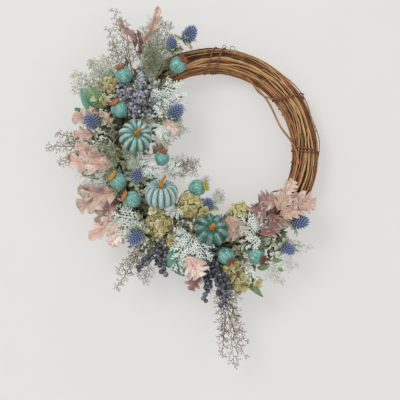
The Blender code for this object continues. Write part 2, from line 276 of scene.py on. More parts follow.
def use_group(tree, group, *values):
    """Place a shared effect in a finish, with its own values."""
    made = tree.nodes.new("ShaderNodeGroup")
    made.node_tree = group
    for socket, value in zip(made.inputs, values):
        feed(tree, socket, value)
    return made.outputs


# %% The mottling group: soft patches, as in brushed paint or dried petals
mottling, box_in, box_out = new_group(
    "mottling", {"Vector": "Vector", "Scale": "Float", "From": "Float", "To": "Float"}, {"Mask": "Float"})
haze = cloud(mottling, box_in.outputs["Vector"], box_in.outputs["Scale"], 4.0, 0.62)
mask = remap(mottling, haze, box_in.outputs["From"], box_in.outputs["To"])
mottling.links.new(mask, box_out.inputs["Mask"])


def patches_of(tree, place, scale, low, high):
    """A mask of soft patches, crisper where low and high are near each other."""
    return use_group(tree, mottling, place, scale, low, high)[0]


print("the mottling group gives", [socket.name for socket in box_out.inputs if socket.name])

# %% The veins group: a midrib and slanting side veins on any leaf
veins, box_in, box_out = new_group(
    "veins", {"Growth": "Vector", "Pairs": "Float", "Slant": "Float", "Width": "Float"},
    {"Vein": "Float", "Quilt": "Float"})
split = put(veins, "SeparateXYZ", box_in.outputs["Growth"])
across = calc(veins, "ABSOLUTE", split.outputs[1])
midrib = remap(veins, across, 0.0, box_in.outputs["Width"], 1.0, 0.0)
lag = times(veins, across, box_in.outputs["Slant"])
wave = times(veins, calc(veins, "SUBTRACT", split.outputs[0], lag), box_in.outputs["Pairs"])
saw = calc(veins, "ABSOLUTE", calc(veins, "SUBTRACT", calc(veins, "FRACT", wave), 0.5))
side = times(veins, remap(veins, saw, 0.0, 0.13, 1.0, 0.0), remap(veins, across, 0.2, 1.0, 1.0, 0.25))
veins.links.new(calc(veins, "MAXIMUM", midrib, side), box_out.inputs["Vein"])
veins.links.new(calc(veins, "SINE", times(veins, saw, 3.1)), box_out.inputs["Quilt"])
print("the veins group gives", [socket.name for socket in box_out.inputs if socket.name])

# %% The fibre group: streaks along a vine, twig or stem
fibre, box_in, box_out = new_group(
    "fibre", {"Growth": "Vector", "Along": "Float", "Across": "Float"}, {"Streak": "Float", "Crack": "Float"})
split = put(fibre, "SeparateXYZ", box_in.outputs["Growth"])
TONE_STEP = 57.0  # moves the pattern on for each tone, so that no two vines have the same streaks
stretches = (box_in.outputs["Along"], box_in.outputs["Across"], TONE_STEP)
scaled = [times(fibre, value, stretch) for value, stretch in zip(split.outputs, stretches)]
stretched = put(fibre, "CombineXYZ", *scaled)
streak = cloud(fibre, stretched.outputs[0], 1.0, 5.0, 0.7)
fibre.links.new(remap(fibre, streak, 0.3, 0.7), box_out.inputs["Streak"])
fibre.links.new(remap(fibre, streak, 0.3, 0.42, 1.0, 0.0), box_out.inputs["Crack"])
print("the fibre group gives", [socket.name for socket in box_out.inputs if socket.name])


# %% A finish: colour, roughness and relief on one Principled surface
def finish(name, recipe, roughness, relief, depth=0.5 * MM, **constants):
    """recipe(tree, place) gives a colour, a height, and perhaps a roughness to use instead."""
    made = bpy.data.materials.new(name)
    made.use_nodes = True
    tree = made.node_tree
    surface = tree.nodes["Principled BSDF"]
    place = put(tree, "TexCoord").outputs["Object"]
    colour, height, *rough = recipe(tree, place)
    bump = put(tree, "Bump")
    bump.inputs["Strength"].default_value = relief
    bump.inputs["Distance"].default_value = depth
    tree.links.new(height, bump.inputs["Height"])
    sockets = {"Base_Color": colour, "Roughness": rough[0] if rough else roughness, "Normal": bump.outputs[0]}
    for socket, value in (sockets | constants).items():
        feed(tree, surface.inputs[socket.replace("_", " ")], value)
    print("finish", name)
    return made


# %% Wall and floor
def wall_recipe(tree, place):
    patches = patches_of(tree, place, 3.0, 0.3, 0.7)
    grain = cloud(tree, place, 260.0, 2.0, 0.5)
    return mixed(tree, patches, "989694", "949290"), grain


WALL_GLOW = 0.44  # keeps the wall pale and its shadows soft
wall_finish = finish("wall_paint", wall_recipe, 0.9, 0.04, Emission_Color=(1, 0.99, 0.975, 1),
                     Emission_Strength=WALL_GLOW)
tree = wall_finish.node_tree
seen_from_behind = calc(tree, "MAXIMUM", put(tree, "NewGeometry").outputs["Backfacing"],
                        put(tree, "LightPath").outputs["Is Shadow Ray"])
see_through = put(tree, "MixShader", seen_from_behind, tree.nodes["Principled BSDF"].outputs[0],
                  put(tree, "BsdfTransparent").outputs[0])
tree.links.new(see_through.outputs[0], tree.nodes["Material Output"].inputs[0])

WALL_Y, WALL_TOP, FLOOR_Z, FLOOR_FRONT, SWEEP, HALF_WIDTH = 0.006, 2.2, -1.6, -7, 0.5, 4.5
wall_bm = bmesh.new()
turns = [math.radians(90 * step / 12) for step in range(13)]
profile = [(WALL_Y, WALL_TOP)]
profile += [(WALL_Y - SWEEP * (1 - math.cos(turn)), FLOOR_Z + SWEEP * (1 - math.sin(turn))) for turn in turns]
profile.append((FLOOR_FRONT, FLOOR_Z))
rail = [wall_bm.verts.new((-HALF_WIDTH, y, z)) for y, z in profile]
edges = [wall_bm.edges.new(pair) for pair in zip(rail, rail[1:])]
spread = bmesh.ops.extrude_edge_only(wall_bm, edges=edges)["geom"]
bmesh.ops.translate(wall_bm, verts=[g for g in spread if isinstance(g, bmesh.types.BMVert)],
                    vec=(2 * HALF_WIDTH, 0, 0))
wall_bm.normal_update()
if sum(face.normal.y for face in wall_bm.faces) > 0:
    bmesh.ops.reverse_faces(wall_bm, faces=wall_bm.faces)
wall_mesh = bpy.data.meshes.new("wall")
wall_bm.to_mesh(wall_mesh)
wall_bm.free()
wall_mesh.shade_smooth()
wall_mesh.materials.append(wall_finish)
wall = bpy.data.objects.new("wall", wall_mesh)
scene.collection.objects.link(wall)
print("wall and floor", len(wall_mesh.polygons), "faces")

# %% [markdown]
# ## Tools for shapes
# Vines, stems, twigs and tendrils are all the same shape: a strip of faces rolled round a line. Leaves
# and petals are the same flat grid, pulled to an outline and bent. Two helpers make both, and a
# third welds the seams, turns the faces outwards and hands the piece to its body.


# %% Rolled tubes
def new_mesh():
    bm = bmesh.new()
    bm.verts.layers.float_vector.new("growth")
    return bm


@contextmanager
def part_of(bm):
    """A small mesh to work in, added to the large one at the end, because each operator walks its whole mesh."""
    part = new_mesh()
    yield part
    mesh = bpy.data.meshes.new("part")
    part.to_mesh(mesh)
    part.free()
    bm.from_mesh(mesh)
    bpy.data.meshes.remove(mesh)


def grow(bm, vert, along, across, tone):
    vert[bm.verts.layers.float_vector["growth"]] = Vector((along, across, tone))


def set_finish(verts, finish_index):
    """Give the faces of new vertices one of their piece's finishes; the first needs no setting."""
    if finish_index:
        for face in {f for v in verts for f in v.link_faces}:
            face.material_index = finish_index


def tube(bm, path, radii, sides, tone, finish_index=0):
    """A strip of faces rolled round a path, pinched shut where its radius is nought."""
    last = len(path) - 1
    strip = bmesh.ops.create_grid(bm, x_segments=last, y_segments=sides, size=1)["verts"]
    layer = bm.verts.layers.float_vector["growth"]
    rings, side, along = [], None, 0.0
    for i, point in enumerate(path):
        reach = 1 if 0 < i < last else 2  # a path's ends are repeated where its tube is shut flat
        tangent = (path[min(i + reach, last)] - path[max(i - reach, 0)]).normalized()
        side = tangent.orthogonal() if side is None else side
        side = (side - tangent * side.dot(tangent)).normalized()
        rings.append((point, side, tangent.cross(side), radii[i], along))
        along += (path[min(i + 1, last)] - point).length
    for vert in strip:
        point, side, other, radius, along = rings[round((vert.co.x + 1) / 2 * last)]
        turn = (vert.co.y + 1) * math.pi
        vert.co = point + (side * math.cos(turn) + other * math.sin(turn)) * radius
        vert[layer] = Vector((along, math.sin(turn), tone))
    set_finish(strip, finish_index)


def taper(count, radius, tip):
    """Radii that shrink to tip times their start, shut at both ends."""
    radii = [radius * (1 + (tip - 1) * i / (count - 1)) for i in range(count)]
    radii[0] = radii[-1] = 0.0
    return radii


def shut(path, radii):
    """Repeat a path's ends with no radius, so that its tube is closed flat."""
    return [path[0], *path, path[-1]], [0.0, *radii, 0.0]


def bend(start, start_pull, end_pull, end, count):
    """A smooth line that leaves start along its pull and comes to end along the other."""
    return interpolate_bezier(start, start + start_pull, end + end_pull, end, count)


# %% Flat blades: leaves, petals and bracts
def blade(bm, root, tip, width, outline, facing, columns, rows, lean, fold, arch, ripple, tone, wave=0.0,
          finish_index=0):
    """A grid pulled to a leaf's outline, folded along its midrib, arched and rippled."""
    axis = tip - root
    length = axis.length
    axis.normalize()
    across = axis.cross(facing).normalized()
    up = across.cross(axis)
    layer = bm.verts.layers.float_vector["growth"]
    sheet = bmesh.ops.create_grid(bm, x_segments=columns, y_segments=rows, size=1)["verts"]
    for vert in sheet:
        u, s = (vert.co.x + 1) / 2, vert.co.y
        half = outline(u) * width / 2
        rise = fold * abs(s) * half + arch * length * 4 * u * (1 - u)
        rise += ripple * width * math.sin(19 * u + wave) * s * abs(s)
        side = s * half + wave_side(u, wave) * length
        vert.co = root + axis * (u * length + lean * abs(s) * half) + across * side + up * rise
        vert[layer] = Vector((u, s, tone))
    set_finish(sheet, finish_index)


def wave_side(u, wave):
    """A slight sideways bend, so that no leaf is ruled straight."""
    return 0.05 * math.sin(wave * 3) * math.sin(math.pi * u)


def rolled(root, tip, roll):
    """The way that a leaf from root to tip faces when it is rolled about its midrib by roll degrees."""
    return Matrix.Rotation(math.radians(roll), 3, (tip - root).normalized()) @ FRONT


def plain_outline(u):
    return max(0.02, math.sin(math.pi * u ** 0.85)) ** 0.8 if 0 < u < 1 else 0.012


def lobed(lobes, depth, stalk=0.1):
    """The outline of an oak leaf: a stalk, then lobes with narrow bays between them."""
    def outline(u):
        if u <= stalk:
            return 0.035
        w = (u - stalk) / (1 - stalk)
        swell = math.sin(math.pi * min(1, w * 0.93 + 0.05) ** 0.9) ** 0.6
        lobe = abs(math.sin(math.pi * lobes * w)) ** 0.6 * (0.87 + 0.13 * abs(math.cos(3 * math.pi * lobes * w)))
        return max(0.03, swell * (1 - depth + depth * lobe)) if w < 1 else 0.015
    return outline


def thicken(bm, thickness):
    """Give every sheet made so far two sides and an edge."""
    bmesh.ops.recalc_face_normals(bm, faces=bm.faces)
    bmesh.ops.solidify(bm, geom=bm.faces[:], thickness=thickness)


# %% Finished pieces
made_pieces = {}


def piece(bm, name, finishes, solid, body="wreath", smooth=True):
    """Weld the seams, face outwards, stand for a CAD solid if there is one, and ride on a body."""
    bmesh.ops.remove_doubles(bm, verts=bm.verts, dist=1e-7)
    bmesh.ops.recalc_face_normals(bm, faces=bm.faces)
    mesh = bpy.data.meshes.new(name)
    bm.to_mesh(mesh)
    bm.free()
    if smooth:
        mesh.shade_smooth()
    for material in finishes:
        mesh.materials.append(material)
    made = bpy.data.objects.new(name, mesh)
    scene.collection.objects.link(made)
    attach(made, body)
    if solid:
        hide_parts(solid)
    mesh.calc_loop_triangles()
    made_pieces[name] = len(mesh.loop_triangles)
    print(name, made_pieces[name], "triangles")


# %% [markdown]
# ## Grapevine
# The hoop is nearly a hundred and fifty cut vines, from 2 to 9 mm thick, coiled round together. They
# drift over and under their neighbours, swell at each leaf joint, and are red-brown outside and tan
# where the bark has peeled. Vines deep in the bundle, and the core vines, are painted darker as painted
# shade between the strands. One vine at the back carries the hanger, so the others keep clear of it.
# Each frame solid stands for a sixth of the bundle, and its share of the vines is one piece.


# %% Bark finish
def bark_recipe(tree, place):
    here = growth_of(tree)
    streak, crack = use_group(tree, fibre, here.whole, 55.0, 2.6)
    patch = patches_of(tree, place, 38.0, 0.25, 0.75)
    shade = plus(tree, times(tree, here.tone, 0.62), times(tree, patch, 0.3))
    colour = scale_of(tree, shade, (0.0, "33241b"), (0.2, "6a4731"), (0.4, "986b4b"), (0.6, "b48b61"),
                      (0.8, "c9a97a"), (1.0, "dfc8a0"))
    colour = dabbed(tree, streak, 0.6, colour, "c4a880", "OVERLAY")
    moss = patches_of(tree, place, 60.0, 0.57, 0.68)
    colour = dabbed(tree, moss, 0.6, colour, "a3964a")
    colour = dabbed(tree, crack, 0.75, colour, "2b1a12")
    return colour, streak


bark_finish = finish("grapevine_bark", bark_recipe, 0.78, 0.7, 0.8 * MM)

# %% Vines round the hoop
HANGER_HALF, HANGER_EASE = 34 * MM, 30 * MM  # where the bundle makes room for the wire, and where it ends
HANGING_VINE_RADIUS = 4.7 * MM
STRANDS = {  # piece: solid it stands for, middle of its share round the bundle in degrees
    "strands_outside": ("vine_outside", 0), "strands_front_outer": ("vine_front_outer", 60),
    "strands_front_inner": ("vine_front_inner", 120), "strands_inside": ("vine_inside", 180),
    "strands_back_inner": ("vine_back_inner", 240), "strands_back_outer": ("vine_back_outer", 300),
}
LAYERS = (  # reach and radius in millimetres, and vines in each share
    (25.4, 1.55, 9), (21.4, 1.8, 7), (17.5, 2.3, 5), (14.0, 2.9, 2),
)
TONES, WIDTHS = (-0.42, -0.25, -0.1, 0.1, 0.28, 0.5), (0.5, 0.65, 0.8, 0.9, 1.0, 1.2, 1.5)
FREE = 40.0  # more than any vine reaches, in millimetres
DRIFT = 0.6  # how far a vine wanders round the bundle, in radians


def clear_of_hanger(point_angle, reach, turn):
    """Pull a strand in towards the core where the hanger's eyes and arch need room."""
    sideways = abs(math.cos(point_angle)) * HOOP_RADIUS
    if math.sin(point_angle) < 0:
        return reach
    degrees = math.degrees(turn) % 360
    room = 10.0 if 200 < degrees < 282 else 21.5 if 282 <= degrees < 345 else FREE
    ease = clamp((sideways - HANGER_HALF) / HANGER_EASE)
    return min(reach, (room + (FREE - room) * ease * ease * (3 - 2 * ease)) * MM)


def vine(bm, chance, start, sweep, reach, turn, radius, tone):
    """One vine laid round the hoop, wandering over and under its neighbours."""
    steps = max(10, int(abs(sweep) * 34))
    seed = chance.uniform(0, 900)
    joints = [chance.random() for _ in range(int(abs(sweep) * 3.4))]
    path, radii = [], []
    for i in range(steps + 1):
        share = i / steps
        angle = start + sweep * share
        slow = noise.noise(Vector((angle * 1.1, seed, 0)))
        quick = noise.noise(Vector((angle * 4.6, seed, 7)))
        at_turn = turn + DRIFT * slow + 0.17 * quick
        at_reach = reach + (2.1 * noise.noise(Vector((angle * 2.3, seed, 3))) + 0.7 * quick) * MM
        path.append(round_bundle(angle, clear_of_hanger(angle, at_reach, at_turn), at_turn))
        swell = 1 + 0.12 * noise.noise(Vector((angle * 7, seed, 5)))
        for joint in joints:
            swell += 0.34 * math.exp(-(((share - joint) * abs(sweep) * HOOP_RADIUS / (2.6 * MM)) ** 2))
        swell *= min(1, 0.35 + 12 * share, 0.35 + 12 * (1 - share))
        radii.append(radius * swell)
    with part_of(bm) as part:
        tube(part, *shut(path, radii), 6, tone)


# %% Each share of the bundle
for name, (solid, middle) in STRANDS.items():
    chance = random.Random(name)
    bm = new_mesh()
    for reach, radius, count in LAYERS:
        for k in range(count):
            turn = math.radians(middle + 60 * ((k + 0.5) / count - 0.5) + chance.uniform(-5, 5))
            redness = 0.5 - 0.12 * math.cos(turn)
            # the last term darkens vines that lie deeper in the bundle: painted shade between the strands
            tone = redness + chance.choice(TONES) + chance.uniform(-0.06, 0.06) - (25 - reach) * 0.1
            vine(bm, chance, chance.uniform(0, 6.28), chance.uniform(4.6, 6.4) * chance.choice((-1, 1)),
                 (reach + chance.uniform(-2.4, 1.3)) * MM, turn, radius * chance.choice(WIDTHS) * MM,
                 min(0.98, max(0.02, tone)))
    if solid == "vine_back_inner":
        circle = [round_bundle(math.radians(2 * k), 20.0 * MM, math.radians(middle)) for k in range(181)]
        tube(bm, *shut(circle, [HANGING_VINE_RADIUS] * len(circle)), 10, 0.45)
    piece(bm, name, [bark_finish], solid)

# %% The core
chance = random.Random("core")
bm = new_mesh()
for k in range(7):
    turn = math.radians(60 * k)
    reach = 7.6 * MM if k else 0
    # the core vines take only dark tones, as painted shade deep in the bundle
    vine(bm, chance, chance.uniform(0, 6.28), 6.5, reach, turn, 4.0 * MM, chance.uniform(0, 0.25))
piece(bm, "strands_core", [bark_finish], "vine_core")

# %% [markdown]
# ## Loose vines and tendrils
# A vine has sprung from the inner edge on the right, a hooked twig stands out near the spray, and
# thin tendrils lash the bundle in three places, with curled ends at the top.

# %% Loose vines
def hoop_line(places):
    """A smooth line through places given as angle round the hoop, reach out and depth in front."""
    points = [HOOP_CENTRE + outward(math.radians(a)) * (HOOP_RADIUS + out * MM) + FRONT * front * MM
              for a, out, front in places]
    line = [points[0]]
    for i in range(len(points) - 1):
        before, after = points[max(i - 1, 0)], points[min(i + 2, len(points) - 1)]
        pull, end_pull = (points[i + 1] - before) / 6, (points[i] - after) / 6
        line += bend(points[i], pull, end_pull, points[i + 1], 9)[1:]
    return line


def round_ends(line, radius):
    return [radius * min(1, 0.3 + 0.35 * min(i, len(line) - 1 - i)) for i in range(len(line))]


FRAYS = 90  # short ends of peeling bark along the bare half
LOOSE = (  # radius, tone, places
    (2.3, 0.55, ((66, -22, 18), (57, -32, 19), (46, -37, 18), (36, -42, 16), (28, -45, 15), (19, -43, 16),
                 (9, -31, 19), (0, -20, 22), (-8, -14, 24))),
    (1.5, 0.3, ((60, -27, 12), (54, -36, 12), (47, -35, 16), (40, -22, 24))),
    (1.7, 0.35, ((-39.5, -44, 20), (-33.5, -46, 22), (-30.5, -38, 22), (-26, -26, 22), (-22, -14, 24))),
    (1.4, 0.2, ((36, 20, 8), (33.6, 31.5, 8), (32.5, 33.5, 10))),
    (1.2, 0.25, ((13, 22, 8), (11.5, 31, 8))),
    (1.1, 0.4, ((52, 24, 10), (40, 30, 6), (28, 30, 6), (16, 24, 10))),
    (1.0, 0.45, ((20, 26, 4), (10, 31, 4), (2, 30.5, 6), (-8, 25, 10))),
)
bm = new_mesh()
for radius, tone, places in LOOSE:
    line = hoop_line(places)
    tube(bm, *shut(line, round_ends(line, radius * MM)), 6, tone)
chance = random.Random("frays")
for _ in range(FRAYS):
    angle = math.radians(chance.uniform(-48, 102))
    turn = chance.choice((0.0, 0.35, 0.7, 2.6, 3.1)) + chance.uniform(-0.2, 0.2)
    root = round_bundle(angle, 26 * MM, turn)
    off = (root - round_bundle(angle, 0, 0)).normalized()
    along_hoop = outward(angle + math.pi / 2) * chance.choice((-1, 1))
    tip = root + (along_hoop + off * chance.uniform(0.25, 0.9)).normalized() * chance.uniform(5, 13) * MM
    line = bend(root, along_hoop * 3 * MM, -off * 2 * MM, tip, 6)
    tube(bm, line, taper(6, chance.uniform(0.4, 0.8) * MM, 0.4), 4, chance.random())
piece(bm, "loose_vines", [bark_finish], None)


# %% Tendril ties
def tendril_recipe(tree, place):
    streak, crack = use_group(tree, fibre, growth_of(tree).whole, 90.0, 2.0)
    colour = scale_of(tree, streak, (0.0, "4a2a1a"), (0.5, "7a4a2d"), (1.0, "a3714a"))
    return dabbed(tree, crack, 0.5, colour, "2f1c12"), streak


tendril_finish = finish("tendril_bark", tendril_recipe, 0.7, 0.5)
TIE_REACH, BACK_REACH = 29.2, 27.2  # the lashing lies closer at the back, against the wall
WIRE_DIP, WIRE_TURN, WIRE_SPAN = 3.2, 292, 26  # how it dips under the hanger's wire: depth, and where in degrees
TENDRIL_RADIUS, CURL_RADIUS = 1.5 * MM, 0.9 * MM
LASH_STEPS, CURL_STEPS = 56, 24


def lash(bm, chance, inner, outer, returns):
    """A tendril once round the bundle, crossing the front from inner to outer angle, in degrees."""
    line = []
    for k in range(LASH_STEPS + 1):
        share = k / LASH_STEPS
        turn = math.radians(200 - 400 * share)
        if share < 0.5:
            angle = inner + (outer - inner) * share / 0.5
        else:
            angle = outer + (returns - outer) * (share - 0.5) / 0.5
        reach = TIE_REACH + 0.7 * noise.noise(Vector((share * 9, inner, 1)))
        if math.sin(turn) < -0.2:
            under_wire = abs(math.cos(math.radians(angle))) * HOOP_RADIUS < HANGER_HALF
            away = (math.degrees(turn) % 360 - WIRE_TURN) / WIRE_SPAN
            reach = BACK_REACH - under_wire * WIRE_DIP * math.exp(-(away ** 4))
        line.append(round_bundle(math.radians(angle), reach * MM, turn))
    tube(bm, *shut(line, round_ends(line, TENDRIL_RADIUS)), 6, chance.random())


def curl(bm, chance, root, size, turns, way):
    """A tendril's free end: a small flat spiral that stands off the bundle."""
    line = []
    for k in range(CURL_STEPS + 1):
        share = k / CURL_STEPS
        turn = math.radians(way * 360 * turns * share)
        shrink = size * (1 - 0.62 * share)
        line.append(root + Vector((math.sin(turn) * shrink, -0.15 * size * share, (1 - math.cos(turn)) * shrink)))
    tube(bm, line, taper(CURL_STEPS + 1, CURL_RADIUS, 0.5), 5, chance.random())


CURLS = (  # at the top tie: angle round the hoop, reach, turn round the bundle, size, turns, way
    (84, 27, 0.3, 5.5, 1.2, 1), (79, 26, 0.3, 7, 1.1, -1), (97, 26, 2.9, 5, 1.1, 1),
)
TIES = {  # piece: solid, its lashings as inner, outer and returning angles
    "tendril_top": ("tie_top", ((90.6, 83.4, 89.0), (96.8, 88.0, 92.0))),
    "tendril_upper_right": ("tie_upper_right", ((45.0, 30.6, 34.0), (42.0, 31.6, 28.5))),
    "tendril_right": ("tie_right", ((6.0, -0.2, -7.5), (2.5, -1.0, 1.5))),
}
for name, (solid, lashings) in TIES.items():
    chance = random.Random(name)
    bm = new_mesh()
    for inner, outer, returns in lashings:
        lash(bm, chance, inner, outer, returns)
    if solid == "tie_top":
        for angle, reach, turn, size, turns, way in CURLS:
            curl(bm, chance, round_bundle(math.radians(angle), reach * MM, turn), size * MM, turns, way)
    piece(bm, name, [tendril_finish], solid)

# %% [markdown]
# ## Hanger
# Behind the top of the hoop a bent wire hangs on the nail. Its two eyes turn round one vine, so it
# folds back flat when the wreath is packed. It is the one piece that moves.


# %% Hanger wire
def wire_recipe(tree, place):
    wear = patches_of(tree, place, 160.0, 0.35, 0.7)
    return mixed(tree, wear, "5d5f5c", "8d8f8b"), wear, remap(tree, wear, 0, 1, 0.5, 0.32)


wire_finish = finish("hanger_wire", wire_recipe, 0.4, 0.1, Metallic=0.9)
wire_low, wire_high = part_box("hanger")
WIRE_RADIUS, EYE_RADIUS = 0.8 * MM, 6.6 * MM
LEG = wire_high.x - WIRE_RADIUS  # from the middle to each leg, and the arch's radius
HINGE_Y, HINGE_Z = -10.1 * MM, wire_low.z + WIRE_RADIUS + EYE_RADIUS
leg_top = wire_high.z - WIRE_RADIUS - LEG
route = []
for step in range(30, -1, -1):
    turn = math.radians(10 * step)
    route.append(Vector((-LEG, HINGE_Y + math.cos(turn) * EYE_RADIUS, HINGE_Z - math.sin(turn) * EYE_RADIUS)))
route.append(Vector((-LEG, 0, (HINGE_Z + leg_top) / 2)))
for step in range(13):
    turn = math.radians(90 * step / 12)
    route.append(Vector((-LEG * math.cos(turn), 0, leg_top + LEG * math.sin(turn))))
route += [Vector((-p.x, p.y, p.z)) for p in reversed(route[:-1])]
bm = new_mesh()
tube(bm, *shut(route, [WIRE_RADIUS] * len(route)), 10, 0.5)
piece(bm, "hanger_wire", [wire_finish], "hanger", body="bail")

# %% [markdown]
# ## Pumpkins
# Each pumpkin is a light craft pumpkin painted teal and brushed with white, so the white stays on the
# crown of every rib and the teal shows in the grooves, darkened further at the bottom of each groove as
# painted shade. One ball is pressed flat, pulled in at both poles and creased into ribs, and every point
# keeps how near a rib's crown it is for the brushing.


# %% Painted rind finish
def rind(name, groove, crown, frost, brushed, shine):
    def recipe(tree, place):
        _, height, crest, around = growth_of(tree)
        stroke = put(tree, "CombineXYZ", times(tree, around, 95.0), times(tree, height, 2.4),
                     times(tree, crest, 1.5)).outputs[0]
        drag = cloud(tree, stroke, 1.0, 5.0, 0.72)
        flake = cloud(tree, place, 170.0, 4.0, 0.7)
        brush = plus(tree, times(tree, drag, 2.0), times(tree, flake, 1.0))
        ragged = plus(tree, crest, calc(tree, "SUBTRACT", brush, 1.5))
        share = remap(tree, ragged, *brushed)
        colour = mixed(tree, share, groove, crown)
        dust = patches_of(tree, place, 300.0, 0.5, 0.75)
        colour = dabbed(tree, dust, 0.35, colour, frost)
        # darkens the bottom of every groove towards 12352f: painted shade in the creases
        painted_groove_shade = remap(tree, crest, 0.0, 0.25, 0.55, 0.0)
        return mixed(tree, painted_groove_shade, colour, "12352f"), ragged, remap(tree, share, 0, 1, *shine)
    return finish(name, recipe, 0.5, 0.25, 0.6 * MM)


pale_rind = rind("pumpkin_pale_paint", "3f786b", "cbd5d3", "dfe5e4", (0.62, 1.3), (0.4, 0.6))
frosted_rind = rind("pumpkin_frosted_paint", "3c7267", "bccacb", "e0e7e7", (0.3, 1.2), (0.5, 0.66))
dark_rind = rind("pumpkin_dark_paint", "1f5649", "a9c4c1", "8fb0aa", (0.72, 1.5), (0.25, 0.4))


# %% Dried stem finish
def dried_stem_recipe(tree, place):
    streak, crack = use_group(tree, fibre, growth_of(tree).whole, 130.0, 3.0)
    colour = scale_of(tree, streak, (0.0, "8a4a14"), (0.45, "bb7620"), (1.0, "dba344"))
    return dabbed(tree, crack, 0.6, colour, "5c2f10"), streak


dried_stem = finish("pumpkin_stem_dried", dried_stem_recipe, 0.6, 0.6)


# %% A pumpkin and its stem
SIDE_OUT = 28  # heads further out or in than this take a gap at the side of the bundle


def pick_stem(bm, place, lean, neck, facing, radius, tone, finish_index=0):
    """A wired stem: out of a gap between two vines, then in one bend to the neck of its head."""
    arc, out = place[0] + lean, place[1]
    gap = math.radians(30 if out > SIDE_OUT else 150 if out < -SIDE_OUT else 90)
    angle = angle_at(arc)
    root, mouth = (round_bundle(angle, reach, gap) for reach in (CORE_RADIUS + 1.5 * MM, BUNDLE_RADIUS + MM))
    way_out = (mouth - root).normalized()
    pull = (neck - mouth).length / 3
    line = [root] + bend(mouth, way_out * pull, -facing * pull, neck, 7)
    tube(bm, *shut(line, [radius * MM] * len(line)), 6, tone, finish_index)


PUMPKIN_RADIUS, PUMPKIN_HALF = 38 * MM, 26 * MM
DRIED_STEM_LENGTH, DRIED_STEM_RIDGES = 29 * MM, 5
STEM_FLARE = (7.0, 5.2, 4.2, 3.5, 3.1, 2.9, 2.8, 2.9, 3.1, 3.4, 3.5)  # radii from foot to cut end


def pumpkin(name, solid, finish_of, place, aim, tilt, stem_aim, ribs, crease):
    """A pressed and ribbed ball on its pick, and its dried stem."""
    axis, middle = heading(aim, tilt), spot(*place)
    bm = new_mesh()
    ball = bmesh.ops.create_uvsphere(bm, u_segments=ribs * 10, v_segments=36, radius=1)["verts"]
    chance = random.Random(name)
    sizes = [chance.uniform(0.93, 1.0) for _ in range(ribs)]
    for vert in ball:
        x, y, z = vert.co
        ring = math.hypot(x, y)
        around = (math.atan2(y, x) / math.tau % 1) * ribs
        crest = abs(math.sin(math.pi * around)) ** 0.62
        size = sizes[int(around) % ribs]
        body = ring ** 0.72 if ring > 0 else 0
        wide = PUMPKIN_RADIUS * body * size * (1 - crease * (1 - crest) * min(1, 1.6 * ring))
        dimple = math.exp(-((ring / 0.36) ** 2)) * (0.34 if z > 0 else 0.25)
        tall = PUMPKIN_HALF * (z / abs(z) if z else 0) * (abs(z) ** 0.9 * (1.0 + 0.06 * crest) - dimple)
        spin = math.atan2(y, x)
        vert.co = Vector((wide * math.cos(spin), wide * math.sin(spin), tall))
        grow(bm, vert, z, crest * min(1, 2.2 * ring + 0.25), around / ribs)
    bmesh.ops.transform(bm, matrix=stand(middle, axis), verts=ball)
    pick_stem(bm, place, 0, middle + FRONT * -12 * MM, FRONT, 1.3, 0.5)
    piece(bm, name + "_rind", [finish_of], solid)

    bm = new_mesh()
    foot = middle + axis * PUMPKIN_HALF * 0.72
    lean_to = heading(stem_aim, tilt)
    shares = [k / (len(STEM_FLARE) - 1) for k in range(len(STEM_FLARE))]
    line = [foot + axis.lerp(lean_to, share * 0.75) * DRIED_STEM_LENGTH * share for share in shares]
    tube(bm, *shut(line, [radius * MM for radius in STEM_FLARE]), 20, 0.5)
    for vert in bm.verts:
        away = vert.co - min(line, key=lambda point: (point - vert.co).length_squared)
        side = axis.orthogonal()
        ridge = math.sin(DRIED_STEM_RIDGES * math.atan2(away.dot(side), away.dot(axis.cross(side))))
        vert.co += away * 0.14 * ridge
    piece(bm, name + "_dried_stem", [dried_stem], solid + "_stem")


pumpkin("upper_pumpkin", "pumpkin_upper", pale_rind, (-127, -33, 34), 60, 70, 45, 12, 0.2)
pumpkin("middle_pumpkin", "pumpkin_middle", frosted_rind, (49, -59, 34), 90, 35, 60, 14, 0.16)
pumpkin("lower_pumpkin", "pumpkin_lower", dark_rind, (224, -35, 34), 90, 75, 60, 9, 0.24)

# %% [markdown]
# ## Poppy pods
# A dried poppy pod is an urn with eight soft ribs and a frilled crown. These are painted teal,
# rubbed with pale blue, and their crowns are rust, orange or yellow-green.


# %% Pod finishes
def pod_recipe(tree, place):
    _, height, round_x, round_y = growth_of(tree)
    stroke = put(tree, "CombineXYZ", times(tree, round_x, 9.0), times(tree, round_y, 9.0),
                 times(tree, height, 1.6)).outputs[0]
    drag = cloud(tree, stroke, 1.0, 5.0, 0.7)
    scratch = cloud(tree, place, 150.0, 6.0, 0.75)
    lit = plus(tree, times(tree, scratch, 0.45), times(tree, drag, 0.6))
    colour = scale_of(tree, lit, (0.37, "2a5a4e"), (0.46, "468272"), (0.53, "649c90"), (0.61, "9dbfc0"),
                      (0.71, "e2ebee"))
    base = remap(tree, height, -1.0, -0.55, 0.6, 0.0)
    return mixed(tree, base, colour, "1d4a3f"), scratch, remap(tree, scratch, 0.3, 0.7, 0.3, 0.5)


def crown_recipe(tree, place):
    colour = scale_of(tree, growth_of(tree).tone, (0.0, "7a3a26"), (0.3, "a9603f"), (0.6, "c48a4c"),
                      (0.8, "d3a750"), (1.0, "c8c05a"))
    patch = patches_of(tree, place, 260.0, 0.35, 0.7)
    colour = dabbed(tree, patch, 0.5, colour, "6a2a16", "MULTIPLY")
    return colour, patch


pod_paint = finish("pod_teal_paint", pod_recipe, 0.4, 0.3)
crown_paint = finish("pod_crown_rust", crown_recipe, 0.7, 0.4)


